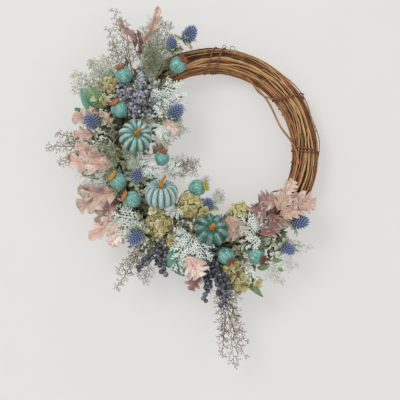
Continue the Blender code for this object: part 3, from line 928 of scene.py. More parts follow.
# %% Green stem finish
def green_stem_recipe(tree, place):
    here = growth_of(tree)
    streak = use_group(tree, fibre, here.whole, 80.0, 2.0)[0]
    colour = scale_of(tree, here.tone, (0.0, "4d4a2a"), (0.5, "6f7446"), (1.0, "94a072"))
    return dabbed(tree, streak, 0.5, colour, "4b3f28"), streak


green_stem = finish("green_stem", green_stem_recipe, 0.7, 0.3)


# %% Pods
CROWN_RINGS = ((3.2, 18.2), (6.4, 18.5), (9.0, 20.0), (12.6, 23.6))  # radius and height of each ring of the frill
NOTCH_DROP, NOTCH_PULL = (0, 0, 0.6, 2.4), (0, 0, 0.22, 0.4)  # how far its notches sink and draw in, ring by ring
CROWN_POINTS = 36


def pod(name, solid, place, aim, tilt, crown_tone, size, lean):
    """An urn with soft ribs, a frilled crown and a stem back to the bundle."""
    axis, middle = heading(aim, tilt), spot(*place)
    chance = random.Random(name)
    half, radius = 18.5 * MM * size, 17.6 * MM * size
    turn = stand(middle, axis)
    bm = new_mesh()
    frill = []
    for ring, (wide, tall) in enumerate(CROWN_RINGS):
        level = Matrix.Translation((0, 0, ring))
        circle = bmesh.ops.create_circle(bm, segments=CROWN_POINTS, radius=1, matrix=level)["verts"]
        for k, vert in enumerate(sorted(circle, key=lambda v: math.atan2(v.co.y, v.co.x))):
            notch = 1 - abs(k % 4 - 2) / 2 if ring > 1 else 1
            drop = (1 - notch) * NOTCH_DROP[ring]
            scale = 1 - (1 - notch) * NOTCH_PULL[ring]
            spin = math.tau * k / CROWN_POINTS
            vert.co = Vector((wide * scale * math.cos(spin), wide * scale * math.sin(spin), tall - drop)) * MM * size
            grow(bm, vert, 1, notch, clamp(crown_tone + chance.uniform(-0.1, 0.1)))
        frill.append(circle)
    bmesh.ops.contextual_create(bm, geom=frill[0])
    for lower, upper in zip(frill, frill[1:]):
        rims = [e for ring in (lower, upper) for e in {e for v in ring for e in v.link_edges}
                if all(v in ring for v in e.verts)]
        bmesh.ops.bridge_loops(bm, edges=rims)
    thicken(bm, 0.7 * MM)
    for face in bm.faces:
        face.material_index = 1
    bmesh.ops.transform(bm, matrix=turn, verts=bm.verts)

    ball = bmesh.ops.create_uvsphere(bm, u_segments=72, v_segments=24, radius=1)["verts"]
    for vert in ball:
        x, y, z = vert.co
        ring = math.hypot(x, y)
        crest = abs(math.sin(4 * math.atan2(y, x))) ** 0.7
        pear = 1 + 0.1 * z - 0.12 * max(0, -z)
        neck = 1 - 0.25 * max(0, z - 0.75) * 4
        wide = radius * ring ** 0.86 * pear * (0.965 + 0.035 * crest) * max(0.6, neck)
        spin = math.atan2(y, x)
        vert.co = Vector((wide * math.cos(spin), wide * math.sin(spin), half * z * (1 - 0.06 * math.exp(-ring * 9))))
        grow(bm, vert, z, math.cos(spin), math.sin(spin))
    bmesh.ops.transform(bm, matrix=turn, verts=ball)
    pick_stem(bm, place, lean, middle - axis * half * 0.97, axis, 1.3, 0.5, 2)
    piece(bm, name, [pod_paint, crown_paint, green_stem], solid)


PODS = (  # piece, solid, place, aim, tilt, crown tone, size, lean
    ("painted_pod_top_left", "pod_top_left", (-230, 50, 26), 117, 25, 0.35, 1.0, 0),
    ("painted_pod_left_upper", "pod_left_upper", (-172, 18, 30), 122, 30, 0.45, 1.0, 0),
    ("painted_pod_top", "pod_top", (-324, -1, 24), 45, 30, 0.25, 1.0, 0),
    ("painted_pod_inner", "pod_inner", (-62, -90, 22), 80, 30, 0.3, 0.92, 0),
    ("painted_pod_left", "pod_left", (-26, 10, 34), 139, 30, 0.72, 1.0, 0),
    ("painted_pod_left_lower", "pod_left_lower", (20, -2, 42), 154, 25, 0.55, 1.0, 0),
    ("painted_pod_centre", "pod_centre", (142, -117, 26), 12, 25, 1.0, 1.0, -25),
    ("painted_pod_bottom", "pod_bottom", (251, 21, 30), -49, 30, 0.2, 1.0, 0),
    ("painted_pod_bottom_right", "pod_bottom_right", (305, 39, 28), -25, 30, 0.1, 0.95, 0),
)
for row in PODS:
    pod(*row)

# %% [markdown]
# ## Thistles
# A globe thistle is an egg of stiff spikes, slate blue with paler tips, over a ruff of thin green
# bracts. The spikes are set by the golden angle, as a real flower head sets them.


# %% Thistle finishes
def spike_recipe(tree, place):
    here = growth_of(tree)
    colour = scale_of(tree, here.along, (0.0, "363f59"), (0.3, "57658a"), (0.7, "8795b8"), (1.0, "d5dcea"))
    patch = patches_of(tree, place, 90.0, 0.35, 0.7)
    return dabbed(tree, patch, 0.3, colour, "93a5be"), patch


def bract_recipe(tree, place):
    here = growth_of(tree)
    vein = use_group(tree, veins, here.whole, 6.0, 0.3, 0.2)[0]
    colour = scale_of(tree, here.along, (0.0, "6f7f52"), (0.6, "a4b186"), (1.0, "c9cfae"))
    return dabbed(tree, vein, 0.4, colour, "d5dcc0"), vein


spike_finish = finish("thistle_spikes", spike_recipe, 0.75, 0.2)
bract_finish = finish("thistle_bracts", bract_recipe, 0.7, 0.3)
GOLDEN_TURN = math.pi * (3 - math.sqrt(5))


# %% Thistles
SPIKES, BRACTS = 110, 9
EGG_WIDE, EGG_TALL = 8.6, 15.5  # half sizes in millimetres
ROOT_WIDE, ROOT_TALL = 8.0, 15.0  # where spikes start, just inside the egg


def thistle(name, solid, place, aim, tilt, size, lean):
    """An egg of spikes over a ruff of bracts, and a stem back to the bundle."""
    axis, middle = heading(aim, tilt), spot(*place)
    chance = random.Random(name)
    turn = stand(middle, axis)
    bm = new_mesh()
    for k in range(BRACTS):
        spin = math.tau * k / BRACTS + chance.uniform(-0.2, 0.2)
        way = Vector((math.cos(spin), math.sin(spin), 0))
        root = (way * 3 + Vector((0, 0, -11))) * MM * size
        tip = (way * chance.uniform(18, 27) + Vector((0, 0, chance.uniform(-20, -2)))) * MM * size
        blade(bm, root, tip, 12 * MM * size, lobed(3, 0.6, 0.05), Vector((0, 0, 1)), 15, 4, 0.5, 0.3, 0.1,
              0, 0.5, chance.uniform(0, 6), 1)
    thicken(bm, 0.5 * MM)
    egg = bmesh.ops.create_uvsphere(bm, u_segments=20, v_segments=12, radius=1)["verts"]
    for vert in egg:
        x, y, z = vert.co
        vert.co = Vector((x * EGG_WIDE, y * EGG_WIDE, z * EGG_TALL)) * MM * size
        grow(bm, vert, 0.02, 0, 0.5)
    for k in range(SPIKES):
        level = 1 - 1.72 * (k + 0.5) / SPIKES
        ring, spin = math.sqrt(max(0, 1 - level * level)), k * GOLDEN_TURN
        normal = Vector((ring * math.cos(spin), ring * math.sin(spin), level + 0.22)).normalized()
        root = Vector((ring * math.cos(spin) * ROOT_WIDE, ring * math.sin(spin) * ROOT_WIDE,
                       level * ROOT_TALL)) * MM * size
        tall = chance.uniform(4.8, 7.2) * MM * size * (1 - 0.25 * max(0, -level))
        place_at = stand(root + normal * tall / 2, normal)
        cone = bmesh.ops.create_cone(bm, cap_ends=True, segments=5, radius1=1.7 * MM * size, radius2=0.35 * MM,
                                     depth=tall, matrix=place_at)["verts"]
        for vert in cone:
            height = (vert.co - root).dot(normal) / tall
            grow(bm, vert, 0.15 + 0.8 * height, 0, chance.random())
    bmesh.ops.transform(bm, matrix=turn, verts=bm.verts)
    pick_stem(bm, place, lean, middle - axis * 11 * MM * size, axis, 1.2, 0.8, 2)
    piece(bm, name, [spike_finish, bract_finish, green_stem], solid, smooth=False)


THISTLES = (  # piece, solid, place, aim, tilt, size, lean
    ("blue_thistle_top", "thistle_top", (-361, 54, 20), 55, 15, 1.25, 0),
    ("blue_thistle_top_inner", "thistle_top_inner", (-328, 45, 18), 95, 25, 1.0, 0),
    ("blue_thistle_inner_upper", "thistle_inner_upper", (-245, -84, 22), 50, 20, 1.28, 10),
    ("blue_thistle_left_upper", "thistle_left_upper", (-136, 62, 28), 150, 25, 1.28, 0),
    ("blue_thistle_left", "thistle_left", (-28, -30, 24), 90, 70, 1.1, 0),
    ("blue_thistle_left_lower", "thistle_left_lower", (79, 42, 28), -120, 30, 1.25, 0),
    ("blue_thistle_inner_lower", "thistle_inner_lower", (207, -88, 18), 90, 60, 1.0, 0),
    ("blue_thistle_right", "thistle_right", (404, 35, 22), 10, 25, 1.25, 0),
    ("blue_thistle_bottom_right", "thistle_bottom_right", (359, 59, 18), -35, 35, 1.05, 0),
)
for row in THISTLES:
    thistle(*row)

# %% [markdown]
# ## Berries
# Blue-grey berries with a dusty bloom, like juniper, wired in short bunches. Those at the bottom hang
# in long strings and are nearly black. Each berry is a low ball with a dimple, turned at random.


# %% Berry finishes
def berry_skin(name, *stops):
    def recipe(tree, place):
        _, height, _, tone = growth_of(tree)
        bloom = patches_of(tree, place, 220.0, 0.3, 0.7)
        lit = plus(tree, times(tree, bloom, 0.55), times(tree, tone, 0.45))
        colour = scale_of(tree, lit, *stops)
        eye = remap(tree, height, 0.72, 0.95)
        return mixed(tree, eye, colour, "1d1b24"), bloom, remap(tree, bloom, 0, 1, 0.3, 0.5)
    return finish(name, recipe, 0.5, 0.15)


pale_berry = berry_skin("berry_dusty_blue", (0.0, "54565e"), (0.4, "898b94"), (0.75, "b4b5bb"), (1.0, "e0e1e3"))
dark_berry = berry_skin("berry_slate", (0.0, "2c2d33"), (0.45, "51535b"), (0.8, "7d8088"), (1.0, "b4b6be"))
PALE, DARK = (pale_berry, "berry_pale", 5.2), (dark_berry, "berry_dark", 5.8)  # finish, slot, radius in millimetres


# %% Berry bunches
def berry(bm, centre, facing, size, tone):
    """A ball of eighty faces with a dimple where the flower was."""
    ball = bmesh.ops.create_icosphere(bm, subdivisions=2, radius=size, matrix=stand(centre, facing))["verts"]
    for vert in ball:
        height = (vert.co - centre).dot(facing) / size
        if height > 0.98:
            vert.co -= facing * size * 0.3
        grow(bm, vert, height, 0, tone)


def some_way(chance):
    return Vector([chance.gauss(0, 1) for _ in range(3)]).normalized()


def bunch(bm, chance, foot, axis, length, radius, count, size):
    """Berries packed round a stalk, in mounds that narrow to the tip."""
    placed = []
    line = bend(foot, axis * length * 0.3, -axis * length * 0.3, foot + axis * length, 8)
    tube(bm, line, taper(8, 1.0 * MM, 0.4), 5, 0.3, 1)
    for _ in range(count * 12):
        if len(placed) == count:
            break
        share = chance.random()
        wide = radius * (0.55 + 0.45 * math.sin(math.pi * min(1, share * 1.1 + 0.15)))
        way = (axis.cross(some_way(chance))).normalized()
        centre = foot + axis * length * share + way * wide * chance.uniform(0.35, 1.0)
        own = size * MM * chance.uniform(0.82, 1.12)
        if all((centre - other).length > (own + other_size) * 0.84 for other, other_size in placed):
            placed.append((centre, own))
            stalk_top = foot + axis * length * max(0, share - 0.12)
            tube(bm, [stalk_top, (stalk_top + centre) / 2 + axis * 1.5 * MM, centre], [0, 0.5 * MM, 0], 4, 0.3, 1)
            berry(bm, centre, ((centre - stalk_top).normalized() + some_way(chance) * 0.5).normalized(), own,
                  chance.random())


def head_foot(place, aim, tilt, length):
    """The foot, axis and length in metres of a head whose middle is at a place."""
    axis = heading(aim, tilt)
    return spot(*place) - axis * length * MM / 2, axis, length * MM


BUNCHES = {  # piece: solid, kind, place, aim, tilt, length, radius, lean, berries
    "berry_bunch_upper": ("berries_upper", PALE, (-209, 14, 20), 110, 45, 40, 14, 0, 26),
    "berry_bunch_upper_inner": ("berries_upper_inner", PALE, (-252, -12, 18), 60, 45, 34, 12, 0, 20),
    "berry_string_lower": ("berries_lower", DARK, (137, 48, 22), -88, 15, 80, 13, 0, 40),
    "berry_string_bottom": ("berries_bottom", DARK, (220, 76, 14), -100, 10, 96, 11, 0, 42),
    "berry_string_bottom_right": ("berries_bottom_right", DARK, (241, 94, 30), -85, 15, 66, 16, 12, 44),
}
for name, (solid, (skin, slot, size), place, aim, tilt, length, radius, lean, count) in BUNCHES.items():
    chance = random.Random(name)
    bm = new_mesh()
    foot, axis, long = head_foot(place, aim, tilt, length)
    bunch(bm, chance, foot, axis, long, radius * MM * 0.85, count, size)
    pick_stem(bm, place, lean, foot, axis, 1.2, 0.3, 1)
    piece(bm, name, [skin, green_stem], solid)

# %% More small bunches between the picks
MORE_BERRIES = (  # finish share, place, aim, tilt, length, radius, berries
    (0, (-215, 42, 16), 120, 30, 30, 12, 14), (0, (-185, 20, 26), 140, 40, 26, 12, 14),
    (0, (-186, -8, 22), 90, 60, 30, 14, 18), (0, (-243, 16, 24), 60, 30, 30, 11, 13),
    (0, (-228, -34, 20), 20, 45, 26, 12, 14), (0, (-196, -36, 16), -30, 50, 26, 12, 14),
    (0, (-268, 10, 18), 70, 20, 26, 9, 10), (0, (-238, 2, 32), 80, 50, 34, 13, 16),
    (0, (-216, -6, 34), 100, 60, 30, 13, 16),
    (0, (-196, 30, 24), 130, 50, 24, 11, 12), (0, (-256, 26, 18), 90, 30, 28, 10, 12),
    (1, (116, 70, 14), -133, 12, 56, 9, 20), (1, (214, 40, 24), -95, 20, 40, 10, 18),
    (1, (232, 46, 22), -80, 25, 44, 10, 20), (1, (222, 8, 22), -60, 50, 26, 10, 12),
)
bm = new_mesh()
chance = random.Random("more berries")
for skin, place, aim, tilt, length, radius, count in MORE_BERRIES:
    foot, axis, long = head_foot(place, aim, tilt, length)
    with part_of(bm) as part:
        bunch(part, chance, foot, axis, long, radius * MM, count, PALE[2])
        for face in part.faces:
            if skin and face.material_index == 0:
                face.material_index = 2
piece(bm, "berry_sprigs", [pale_berry, green_stem, dark_berry], None)

# %% [markdown]
# ## Hydrangea
# Dried hydrangea is a dome of little four-petalled flowers, olive to khaki with pale rims. A petal is
# a small cupped grid, and four of them make a flower of a few dozen faces.


# %% Petal finish
def petal_recipe(tree, place):
    here = growth_of(tree)
    vein = use_group(tree, veins, here.whole, 5.0, 0.5, 0.12)[0]
    colour = scale_of(tree, here.tone, (0.0, "93894f"), (0.35, "b3a86c"), (0.7, "ccc28c"), (1.0, "ded7af"))
    rim = remap(tree, calc(tree, "MAXIMUM", calc(tree, "ABSOLUTE", here.across), here.along), 0.7, 1.0, 0.0, 0.6)
    colour = mixed(tree, rim, colour, "e6e0bd")
    heart = remap(tree, here.along, 0.0, 0.3, 0.7, 0.0)
    colour = mixed(tree, heart, colour, "6d6a34")
    return dabbed(tree, vein, 0.3, colour, "6f6638"), vein


petal_finish = finish("hydrangea_petals", petal_recipe, 0.8, 0.3)


# %% Hydrangea heads
def petal_outline(u):
    return max(0.12, math.sin(math.pi * min(1, u * 0.88 + 0.04)) ** 0.55) if u < 1 else 0.45


PETALS = 4


def flower(bm, chance, centre, facing, size):
    """Four cupped petals round a centre."""
    side = facing.orthogonal()
    spin0 = chance.uniform(0, math.tau)
    tone = chance.random()
    for k in range(PETALS):
        spin = spin0 + math.tau * k / PETALS
        way = side * math.cos(spin) + facing.cross(side) * math.sin(spin)
        tip = centre + way * size + facing * size * chance.uniform(0.05, 0.5)
        blade(bm, centre, tip, size * 1.12, petal_outline, facing, 4, 3, 0, 0.12, chance.uniform(-0.12, 0.05),
              0, clamp(tone + chance.uniform(-0.15, 0.15)))


def dome(bm, chance, middle, axis, radius, flowers, size):
    """Flowers set by the golden angle over a dome."""
    turn = axis.to_track_quat("Z", "Y").to_matrix()
    for k in range(flowers):
        level = 1 - 1.05 * (k + 0.5) / flowers
        ring, spin = math.sqrt(max(0, 1 - level * level)), k * GOLDEN_TURN
        way = turn @ Vector((ring * math.cos(spin), ring * math.sin(spin), level))
        centre = middle + way * radius * chance.uniform(0.72, 0.98) - axis * radius * 0.35
        flower(bm, chance, centre, (way + some_way(chance) * 0.25).normalized(), size * chance.uniform(0.8, 1.15))


DOMES = {  # piece: solid, place, aim, tilt, length, radius, lean, flowers
    "hydrangea_dome_inner": ("hydrangea_inner", (144, -77, 26), 90, 80, 18, 24, 10, 19),
    "hydrangea_dome_lower": ("hydrangea_lower", (103, -5, 20), -100, 75, 20, 26, 0, 22),
    "hydrangea_dome_bottom": ("hydrangea_bottom", (271, 79, 12), -60, 75, 18, 22, 0, 17),
}
for name, (solid, place, aim, tilt, length, radius, lean, flowers) in DOMES.items():
    chance = random.Random(name)
    bm = new_mesh()
    foot, axis, long = head_foot(place, aim, tilt, length)
    dome(bm, chance, spot(*place), axis, radius * MM, flowers, 12.5 * MM)
    thicken(bm, 0.35 * MM)
    for k in range(9):
        way = (axis + some_way(chance) * 0.8).normalized()
        if way.dot(axis) > 0.2:
            tube(bm, bend(foot, axis * 6 * MM, -way * 6 * MM, spot(*place) + way * radius * MM * 0.6, 5),
                 taper(5, 0.7 * MM, 0.5), 4, 0.4, 1)
    pick_stem(bm, place, lean, foot, axis, 1.2, 0.4, 1)
    piece(bm, name, [petal_finish, green_stem], solid)

# %% More hydrangea flowers, loose among the picks
MORE_FLOWERS = (  # place, radius, flowers
    ((-204, 65, 14), 18, 10), ((-176, 62, 22), 9, 4), ((310, -62, 10), 20, 10), ((262, 48, 20), 15, 8),
    ((190, -70, 22), 13, 6), ((296, -54, 8), 14, 7), ((138, 8, 16), 12, 6), ((290, 92, 12), 11, 5),
    ((76, -22, 26), 10, 5),
)
bm = new_mesh()
chance = random.Random("more flowers")
for place, radius, flowers in MORE_FLOWERS:
    with part_of(bm) as part:
        dome(part, chance, spot(*place), FRONT, radius * MM, flowers, 11 * MM)
thicken(bm, 0.35 * MM)
piece(bm, "hydrangea_sprigs", [petal_finish], None)

# %% [markdown]
# ## Oak leaves
# The preserved oak leaves run from cream and pink through coral to mauve. A leaf is one grid pulled to
# lobes that slant to the tip, cupped along the midrib and crinkled, then given a real thickness.


# %% Oak leaf finish
def oak_recipe(tree, place):
    here = growth_of(tree)
    vein, quilt = use_group(tree, veins, here.whole, 7.0, 0.22, 0.09)
    patch = patches_of(tree, place, 38.0, 0.34, 0.66)
    shade = plus(tree, here.tone, times(tree, calc(tree, "SUBTRACT", patch, 0.4), 0.42))
    colour = scale_of(tree, shade, (0.0, "f3e8de"), (0.2, "dfc7ba"), (0.38, "ccaa9c"), (0.54, "c4b19b"),
                      (0.7, "ab928b"), (0.86, "8b6c70"), (1.0, "8d6652"))
    heart = remap(tree, plus(tree, here.along, calc(tree, "ABSOLUTE", here.across)), 0.1, 0.9, 0.4, 0.0)
    colour = mixed(tree, heart, colour, "a8685e")
    rim = remap(tree, calc(tree, "ABSOLUTE", here.across), 0.55, 1.0, 0.0, 0.62)
    colour = mixed(tree, rim, colour, "d9cdbf")
    colour = dabbed(tree, vein, 0.72, colour, "9d5648")
    return colour, plus(tree, quilt, times(tree, vein, -0.8))


oak_finish = finish("oak_leaf_preserved", oak_recipe, 0.72, 0.45, 0.9 * MM)


# %% Oak leaves
def leaf_pick(name, seed, solid, leaves, draw, thickness, finishes, stem_tone=None, holder=nullcontext):
    """One piece of leaves, a row each for draw, and a stem to the foot of the first where it has a tone.

    Where there are many blades the holder is part_of, for speed.
    """
    chance = random.Random(seed)
    bm = new_mesh()
    for root, tip, *rest in leaves:
        with holder(bm) as part:
            draw(part, chance, spot(*root), spot(*tip), *rest)
    thicken(bm, thickness * MM)
    if stem_tone is not None:
        foot, tip = leaves[0][:2]
        pick_stem(bm, foot, 0, spot(*foot), (spot(*tip) - spot(*foot)).normalized(), 1.1, stem_tone, 1)
    piece(bm, name, finishes, solid)


LOBE_DEPTH = 0.66


def oak_leaf(bm, chance, root, tip, width, tone, lobes, roll, arch):
    """One leaf, rolled about its midrib by roll degrees."""
    blade(bm, root, tip, width * MM, lobed(lobes, LOBE_DEPTH), rolled(root, tip, roll), lobes * 14, 8, 0.52, 0.32,
          arch, 0.13, tone, chance.uniform(0, 6))


OAKS = {  # piece: solid, leaves as root, tip, width, tone, lobes, roll, arch
    "oak_leaves_left_upper": ("oak_leaf_left_upper", (
        ((-148, 20, 6), (-133, 110, 12), 46, 0.36, 4, 15, 0.08),
        ((-140, 30, 4), (-150, 88, 22), 36, 0.2, 3, -35, 0.1))),
    "oak_leaves_left": ("oak_leaf_left", (
        ((-62, 6, 10), (-76, 106, 14), 56, 0.3, 4, 10, 0.07), ((-66, 16, 8), (-104, 92, 22), 44, 0.52, 4, -25, 0.1),
        ((-62, 22, 4), (-52, 84, 6), 36, 0.66, 3, 30, 0.05))),
    "oak_leaves_left_lower": ("oak_leaf_left_lower", (
        ((-10, 8, 14), (-8, 112, 12), 62, 0.5, 4, 10, 0.06), ((0, 20, 8), (-36, 98, 18), 46, 0.62, 4, -20, 0.1),
        ((2, 16, 6), (22, 92, 6), 44, 0.72, 4, 25, 0.05))),
    "oak_leaves_lower": ("oak_leaf_lower", (
        ((45, 20, 12), (35, 124, 10), 44, 0.3, 4, 15, 0.07), ((48, 26, 6), (62, 92, 10), 38, 0.04, 4, -15, 0.08))),
    "oak_leaves_top": ("oak_leaf_top", (
        ((-284, 74, 12), (-330, 134, 20), 28, 0.36, 4, 40, 0.1),
        ((-284, 84, 14), (-281, 152, 18), 22, 0.7, 4, -50, 0.16),
        ((-268, 56, 12), (-290, 108, 14), 26, 0.8, 3, 50, 0.08))),
    "oak_leaves_right": ("oak_leaf_right", (
        ((420, -24, 22), (448, 44, 18), 52, 0.3, 4, 10, 0.08), ((426, -24, 28), (474, -20, 30), 34, 0.16, 4, 0, 0.1),
        ((414, -20, 26), (436, 24, 24), 40, 0.5, 4, -25, 0.12))),
}
for name, (solid, leaves) in OAKS.items():
    leaf_pick(name, name, solid, leaves, oak_leaf, 0.5, [oak_finish, green_stem], 0.2)

# %% More oak leaves
MORE_OAKS = (  # root, tip, width, tone, lobes, roll, arch
    ((176, 22, 34), (206, 66, 40), 58, 0.1, 4, -10, 0.14), ((206, 40, 24), (196, 98, 22), 40, 0.84, 4, 20, 0.08),
    ((270, -66, 22), (288, -12, 26), 62, 0.5, 4, 0, 0.08), ((300, -52, 20), (262, -30, 24), 44, 0.54, 3, 30, 0.1),
    ((340, -60, 22), (372, -30, 30), 50, 0.74, 4, 15, 0.1), ((386, -24, 18), (356, 10, 24), 48, 0.8, 4, -25, 0.1),
    ((416, -24, 26), (378, -58, 26), 50, 0.66, 4, 10, 0.1), ((330, 0, 20), (372, 4, 26), 44, 0.88, 4, 10, 0.1),
    ((-206, -70, 10), (-188, -112, 12), 40, 0.12, 4, 20, 0.1),
    ((-128, 20, 22), (-150, 50, 42), 40, 0.4, 3, 60, 0.18),
    ((-80, -70, 10), (-112, -92, 14), 34, 0.7, 3, -20, 0.1), ((-118, 50, 8), (-112, 100, 10), 34, 0.42, 3, 25, 0.1),
    ((-168, 60, 6), (-136, 92, 16), 32, 0.3, 3, -40, 0.1), ((-92, 60, 4), (-80, 112, 8), 36, 0.24, 4, -30, 0.1),
    ((-30, 60, 4), (-26, 98, 8), 40, 0.66, 4, 30, 0.1), ((-272, 76, 4), (-282, 118, 8), 24, 0.6, 3, 30, 0.1),
    ((396, 0, 10), (398, 40, 8), 34, 0.28, 3, -20, 0.1), ((384, -8, 28), (438, 20, 26), 48, 0.34, 4, 0, 0.1),
    ((390, -16, 30), (442, -18, 30), 44, 0.5, 4, -10, 0.1), ((372, 0, 22), (420, 34, 18), 40, 0.6, 4, 20, 0.1),
    ((58, 40, 14), (60, 96, 16), 40, 0.02, 4, 15, 0.1),
)
leaf_pick("oak_leaf_sprigs", "more oak leaves", None, MORE_OAKS, oak_leaf, 0.5, [oak_finish],
          holder=part_of)

# %% [markdown]
# ## Dusty miller
# Dusty miller leaves look like white lace: a midrib with fingers that fork again. Each finger is its
# own small lobed blade, so the gaps between them are real and the leaf throws a lacy shadow.


# %% Felt finish
def felt_recipe(tree, place):
    here = growth_of(tree)
    fuzz = cloud(tree, place, 900.0, 3.0, 0.6)
    patch = patches_of(tree, place, 60.0, 0.3, 0.7)
    colour = mixed(tree, patch, "bfcec5", "f4f7f0")
    root = remap(tree, here.along, 0.0, 0.4, 0.4, 0.0)
    return mixed(tree, root, colour, "8ea190"), fuzz


felt_finish = finish("dusty_miller_felt", felt_recipe, 0.9, 0.5, Sheen_Weight=0.4)


# %% Lace leaves
def finger_outline(u):
    return 0.3 + 0.7 * math.sin(math.pi * min(1, u * 0.9)) ** 2 if u < 1 else 0.2


FELT_TONE = 0.5  # felt has one range of colour, so every leaf has the same tone
FORKS = ((0.35, -1), (0.45, 1), (0.62, -1), (0.72, 1), (0.95, -0.5), (0.95, 0.5))  # share along a finger, side


def lace_leaf(bm, chance, root, tip, width, pairs, roll):
    """Fingers in pairs along a midrib, each forked into blunt little lobes, and one at the tip."""
    axis = tip - root
    length = axis.length
    axis.normalize()
    facing = rolled(root, tip, roll)
    across = axis.cross(facing).normalized()
    up = across.cross(axis)
    blade(bm, root, tip, 3.2 * MM, finger_outline, facing, 8, 2, 0, 0.2, 0.1, 0, FELT_TONE)
    fingers = [(0.16 + 0.64 * k / pairs, side) for k in range(pairs) for side in (-1, 1)] + [(0.78, 0)]
    for share, side in fingers:
        at = root + axis * length * share + up * length * 0.4 * share * (1 - share)
        reach = width * MM / 2 * (0.6 + 0.6 * math.sin(math.pi * share)) * chance.uniform(0.8, 1.15)
        way = axis + across * side * 1.15 + up * chance.uniform(-0.15, 0.6)
        way.normalize()
        over = way.cross(up).normalized()
        blade(bm, at, at + way * reach, 3.0 * MM, finger_outline, facing, 5, 2, 0, 0.3, 0.06, 0,
              FELT_TONE)
        for fork, turn in FORKS:
            start = at + way * reach * fork
            lobe = (way * 0.7 + over * turn * 0.9 + up * chance.uniform(-0.3, 0.5)).normalized()
            blade(bm, start, start + lobe * reach * chance.uniform(0.26, 0.42), 2.9 * MM, finger_outline, facing,
                  3, 2, 0, 0.2, 0.05, 0, FELT_TONE)


LACES = {  # piece: solid, leaves as root, tip, width, pairs, roll
    "lace_leaves_upper": ("dusty_miller_upper", (
        ((-262, -14, 10), (-310, -62, 12), 44, 4, 0), ((-250, -22, 12), (-270, -78, 10), 40, 4, 20),
        ((-232, -30, 14), (-222, -70, 18), 36, 4, -20), ((-240, -10, 20), (-252, -50, 26), 34, 4, 10))),
    "lace_leaves_lower_left": ("dusty_miller_lower_left", (
        ((62, 12, 10), (46, 72, 14), 42, 4, 0), ((66, 10, 14), (30, 46, 20), 40, 4, 15),
        ((80, 6, 16), (62, 48, 20), 34, 4, -15))),
    "lace_leaves_bottom": ("dusty_miller_bottom", (
        ((178, -12, 16), (190, 44, 28), 52, 4, 0), ((176, -16, 22), (160, 34, 30), 44, 4, 20),
        ((180, -10, 24), (214, 16, 34), 42, 4, -15), ((172, -22, 20), (150, -2, 28), 36, 4, 10),
        ((186, -24, 18), (172, 20, 38), 44, 4, 5))),
}
for name, (solid, leaves) in LACES.items():
    leaf_pick(name, name, solid, leaves, lace_leaf, 0.7, [felt_finish], holder=part_of)

# %% More lace leaves
MORE_LACES = (  # root, tip, width, pairs, roll
    ((-40, 34, 10), (-52, 92, 12), 40, 4, 0), ((-50, 40, 12), (-72, 74, 14), 34, 3, 20),
    ((-38, 30, 12), (-28, 78, 10), 34, 3, -20),
    ((-34, -16, 20), (-50, -70, 24), 38, 4, 10), ((-44, -20, 22), (-70, -40, 26), 30, 3, -20),
    ((-20, -40, 18), (-36, -86, 20), 34, 3, 20),
    ((10, -96, 16), (-16, -118, 20), 28, 3, 10), ((46, 40, 12), (26, 74, 14), 34, 3, 0),
    ((322, 2, 22), (312, -40, 26), 38, 4, 0), ((326, -4, 22), (350, -34, 26), 34, 3, 20),
    ((330, 6, 18), (300, 14, 30), 32, 3, 10),
    ((290, 50, 18), (284, 84, 20), 28, 3, 0), ((100, -60, 24), (124, -46, 28), 28, 3, 10),
    ((118, -100, 18), (96, -128, 20), 28, 3, 0),
    ((-176, -66, 14), (-154, -92, 18), 28, 3, 10), ((-262, -52, 10), (-290, -92, 8), 32, 3, 10),
    ((150, 30, 18), (176, 62, 22), 34, 3, 10), ((204, 0, 18), (216, 40, 26), 34, 3, 10),
)
leaf_pick("lace_leaf_sprigs", "more lace", None, MORE_LACES, lace_leaf, 0.7, [felt_finish],
          holder=part_of)

# %% [markdown]
# ## Broad leaves
# A few smooth leaves show between the picks: a dark green and a blue-green pair on the left, one large
# teal leaf with a peach midrib at the bottom, and a long green lance hanging on the right.


# %% Smooth leaf finish
def smooth_leaf_recipe(tree, place):
    here = growth_of(tree)
    vein, quilt = use_group(tree, veins, here.whole, 9.0, 0.25, 0.06)
    colour = scale_of(tree, here.tone, (0.0, "2f5a2b"), (0.3, "4c7d3a"), (0.6, "2f7c77"), (0.8, "63a392"),
                      (1.0, "a9bf9a"))
    patch = patches_of(tree, place, 50.0, 0.3, 0.7)
    colour = dabbed(tree, patch, 0.35, colour, "8fb08a")
    return dabbed(tree, vein, 0.55, colour, "d9c79c"), quilt


smooth_leaf = finish("smooth_leaf", smooth_leaf_recipe, 0.45, 0.25)


# %% Broad leaves
def broad_leaf(bm, chance, root, tip, width, tone, roll):
    """A smooth leaf with a slight ripple."""
    blade(bm, root, tip, width * MM, plain_outline, rolled(root, tip, roll), 18, 8, 0.1, 0.22, 0.1, 0.01, tone,
          chance.uniform(0, 6))


def little_leaf(bm, chance, root, tip, width, tone, roll):
    """A flatter one with fewer faces."""
    blade(bm, root, tip, width * MM, plain_outline, rolled(root, tip, roll), 14, 4, 0.1, 0.3, 0.06, 0, tone,
          chance.uniform(0, 6))


BROADS = {  # piece: solid, leaves as root, tip, width, tone, roll
    "broad_leaves_left": ("broad_leaf_left", (
        ((-163, 52, 18), (-187, 102, 20), 34, 0.12, -20), ((-150, 64, 8), (-178, 114, 8), 36, 0.66, 10),
        ((-140, 92, 2), (-150, 112, 2), 16, 0.05, 20), ((-176, 70, 20), (-166, 84, 26), 14, 0.95, 0))),
    "broad_leaves_bottom": ("broad_leaf_bottom", (
        ((152, 8, 16), (182, 72, 16), 62, 0.56, 0), ((140, 14, 10), (156, 66, 10), 40, 0.1, 15))),
}
for name, (solid, leaves) in BROADS.items():
    leaf_pick(name, name, solid, leaves, broad_leaf, 0.6, [smooth_leaf, green_stem], 0.6)

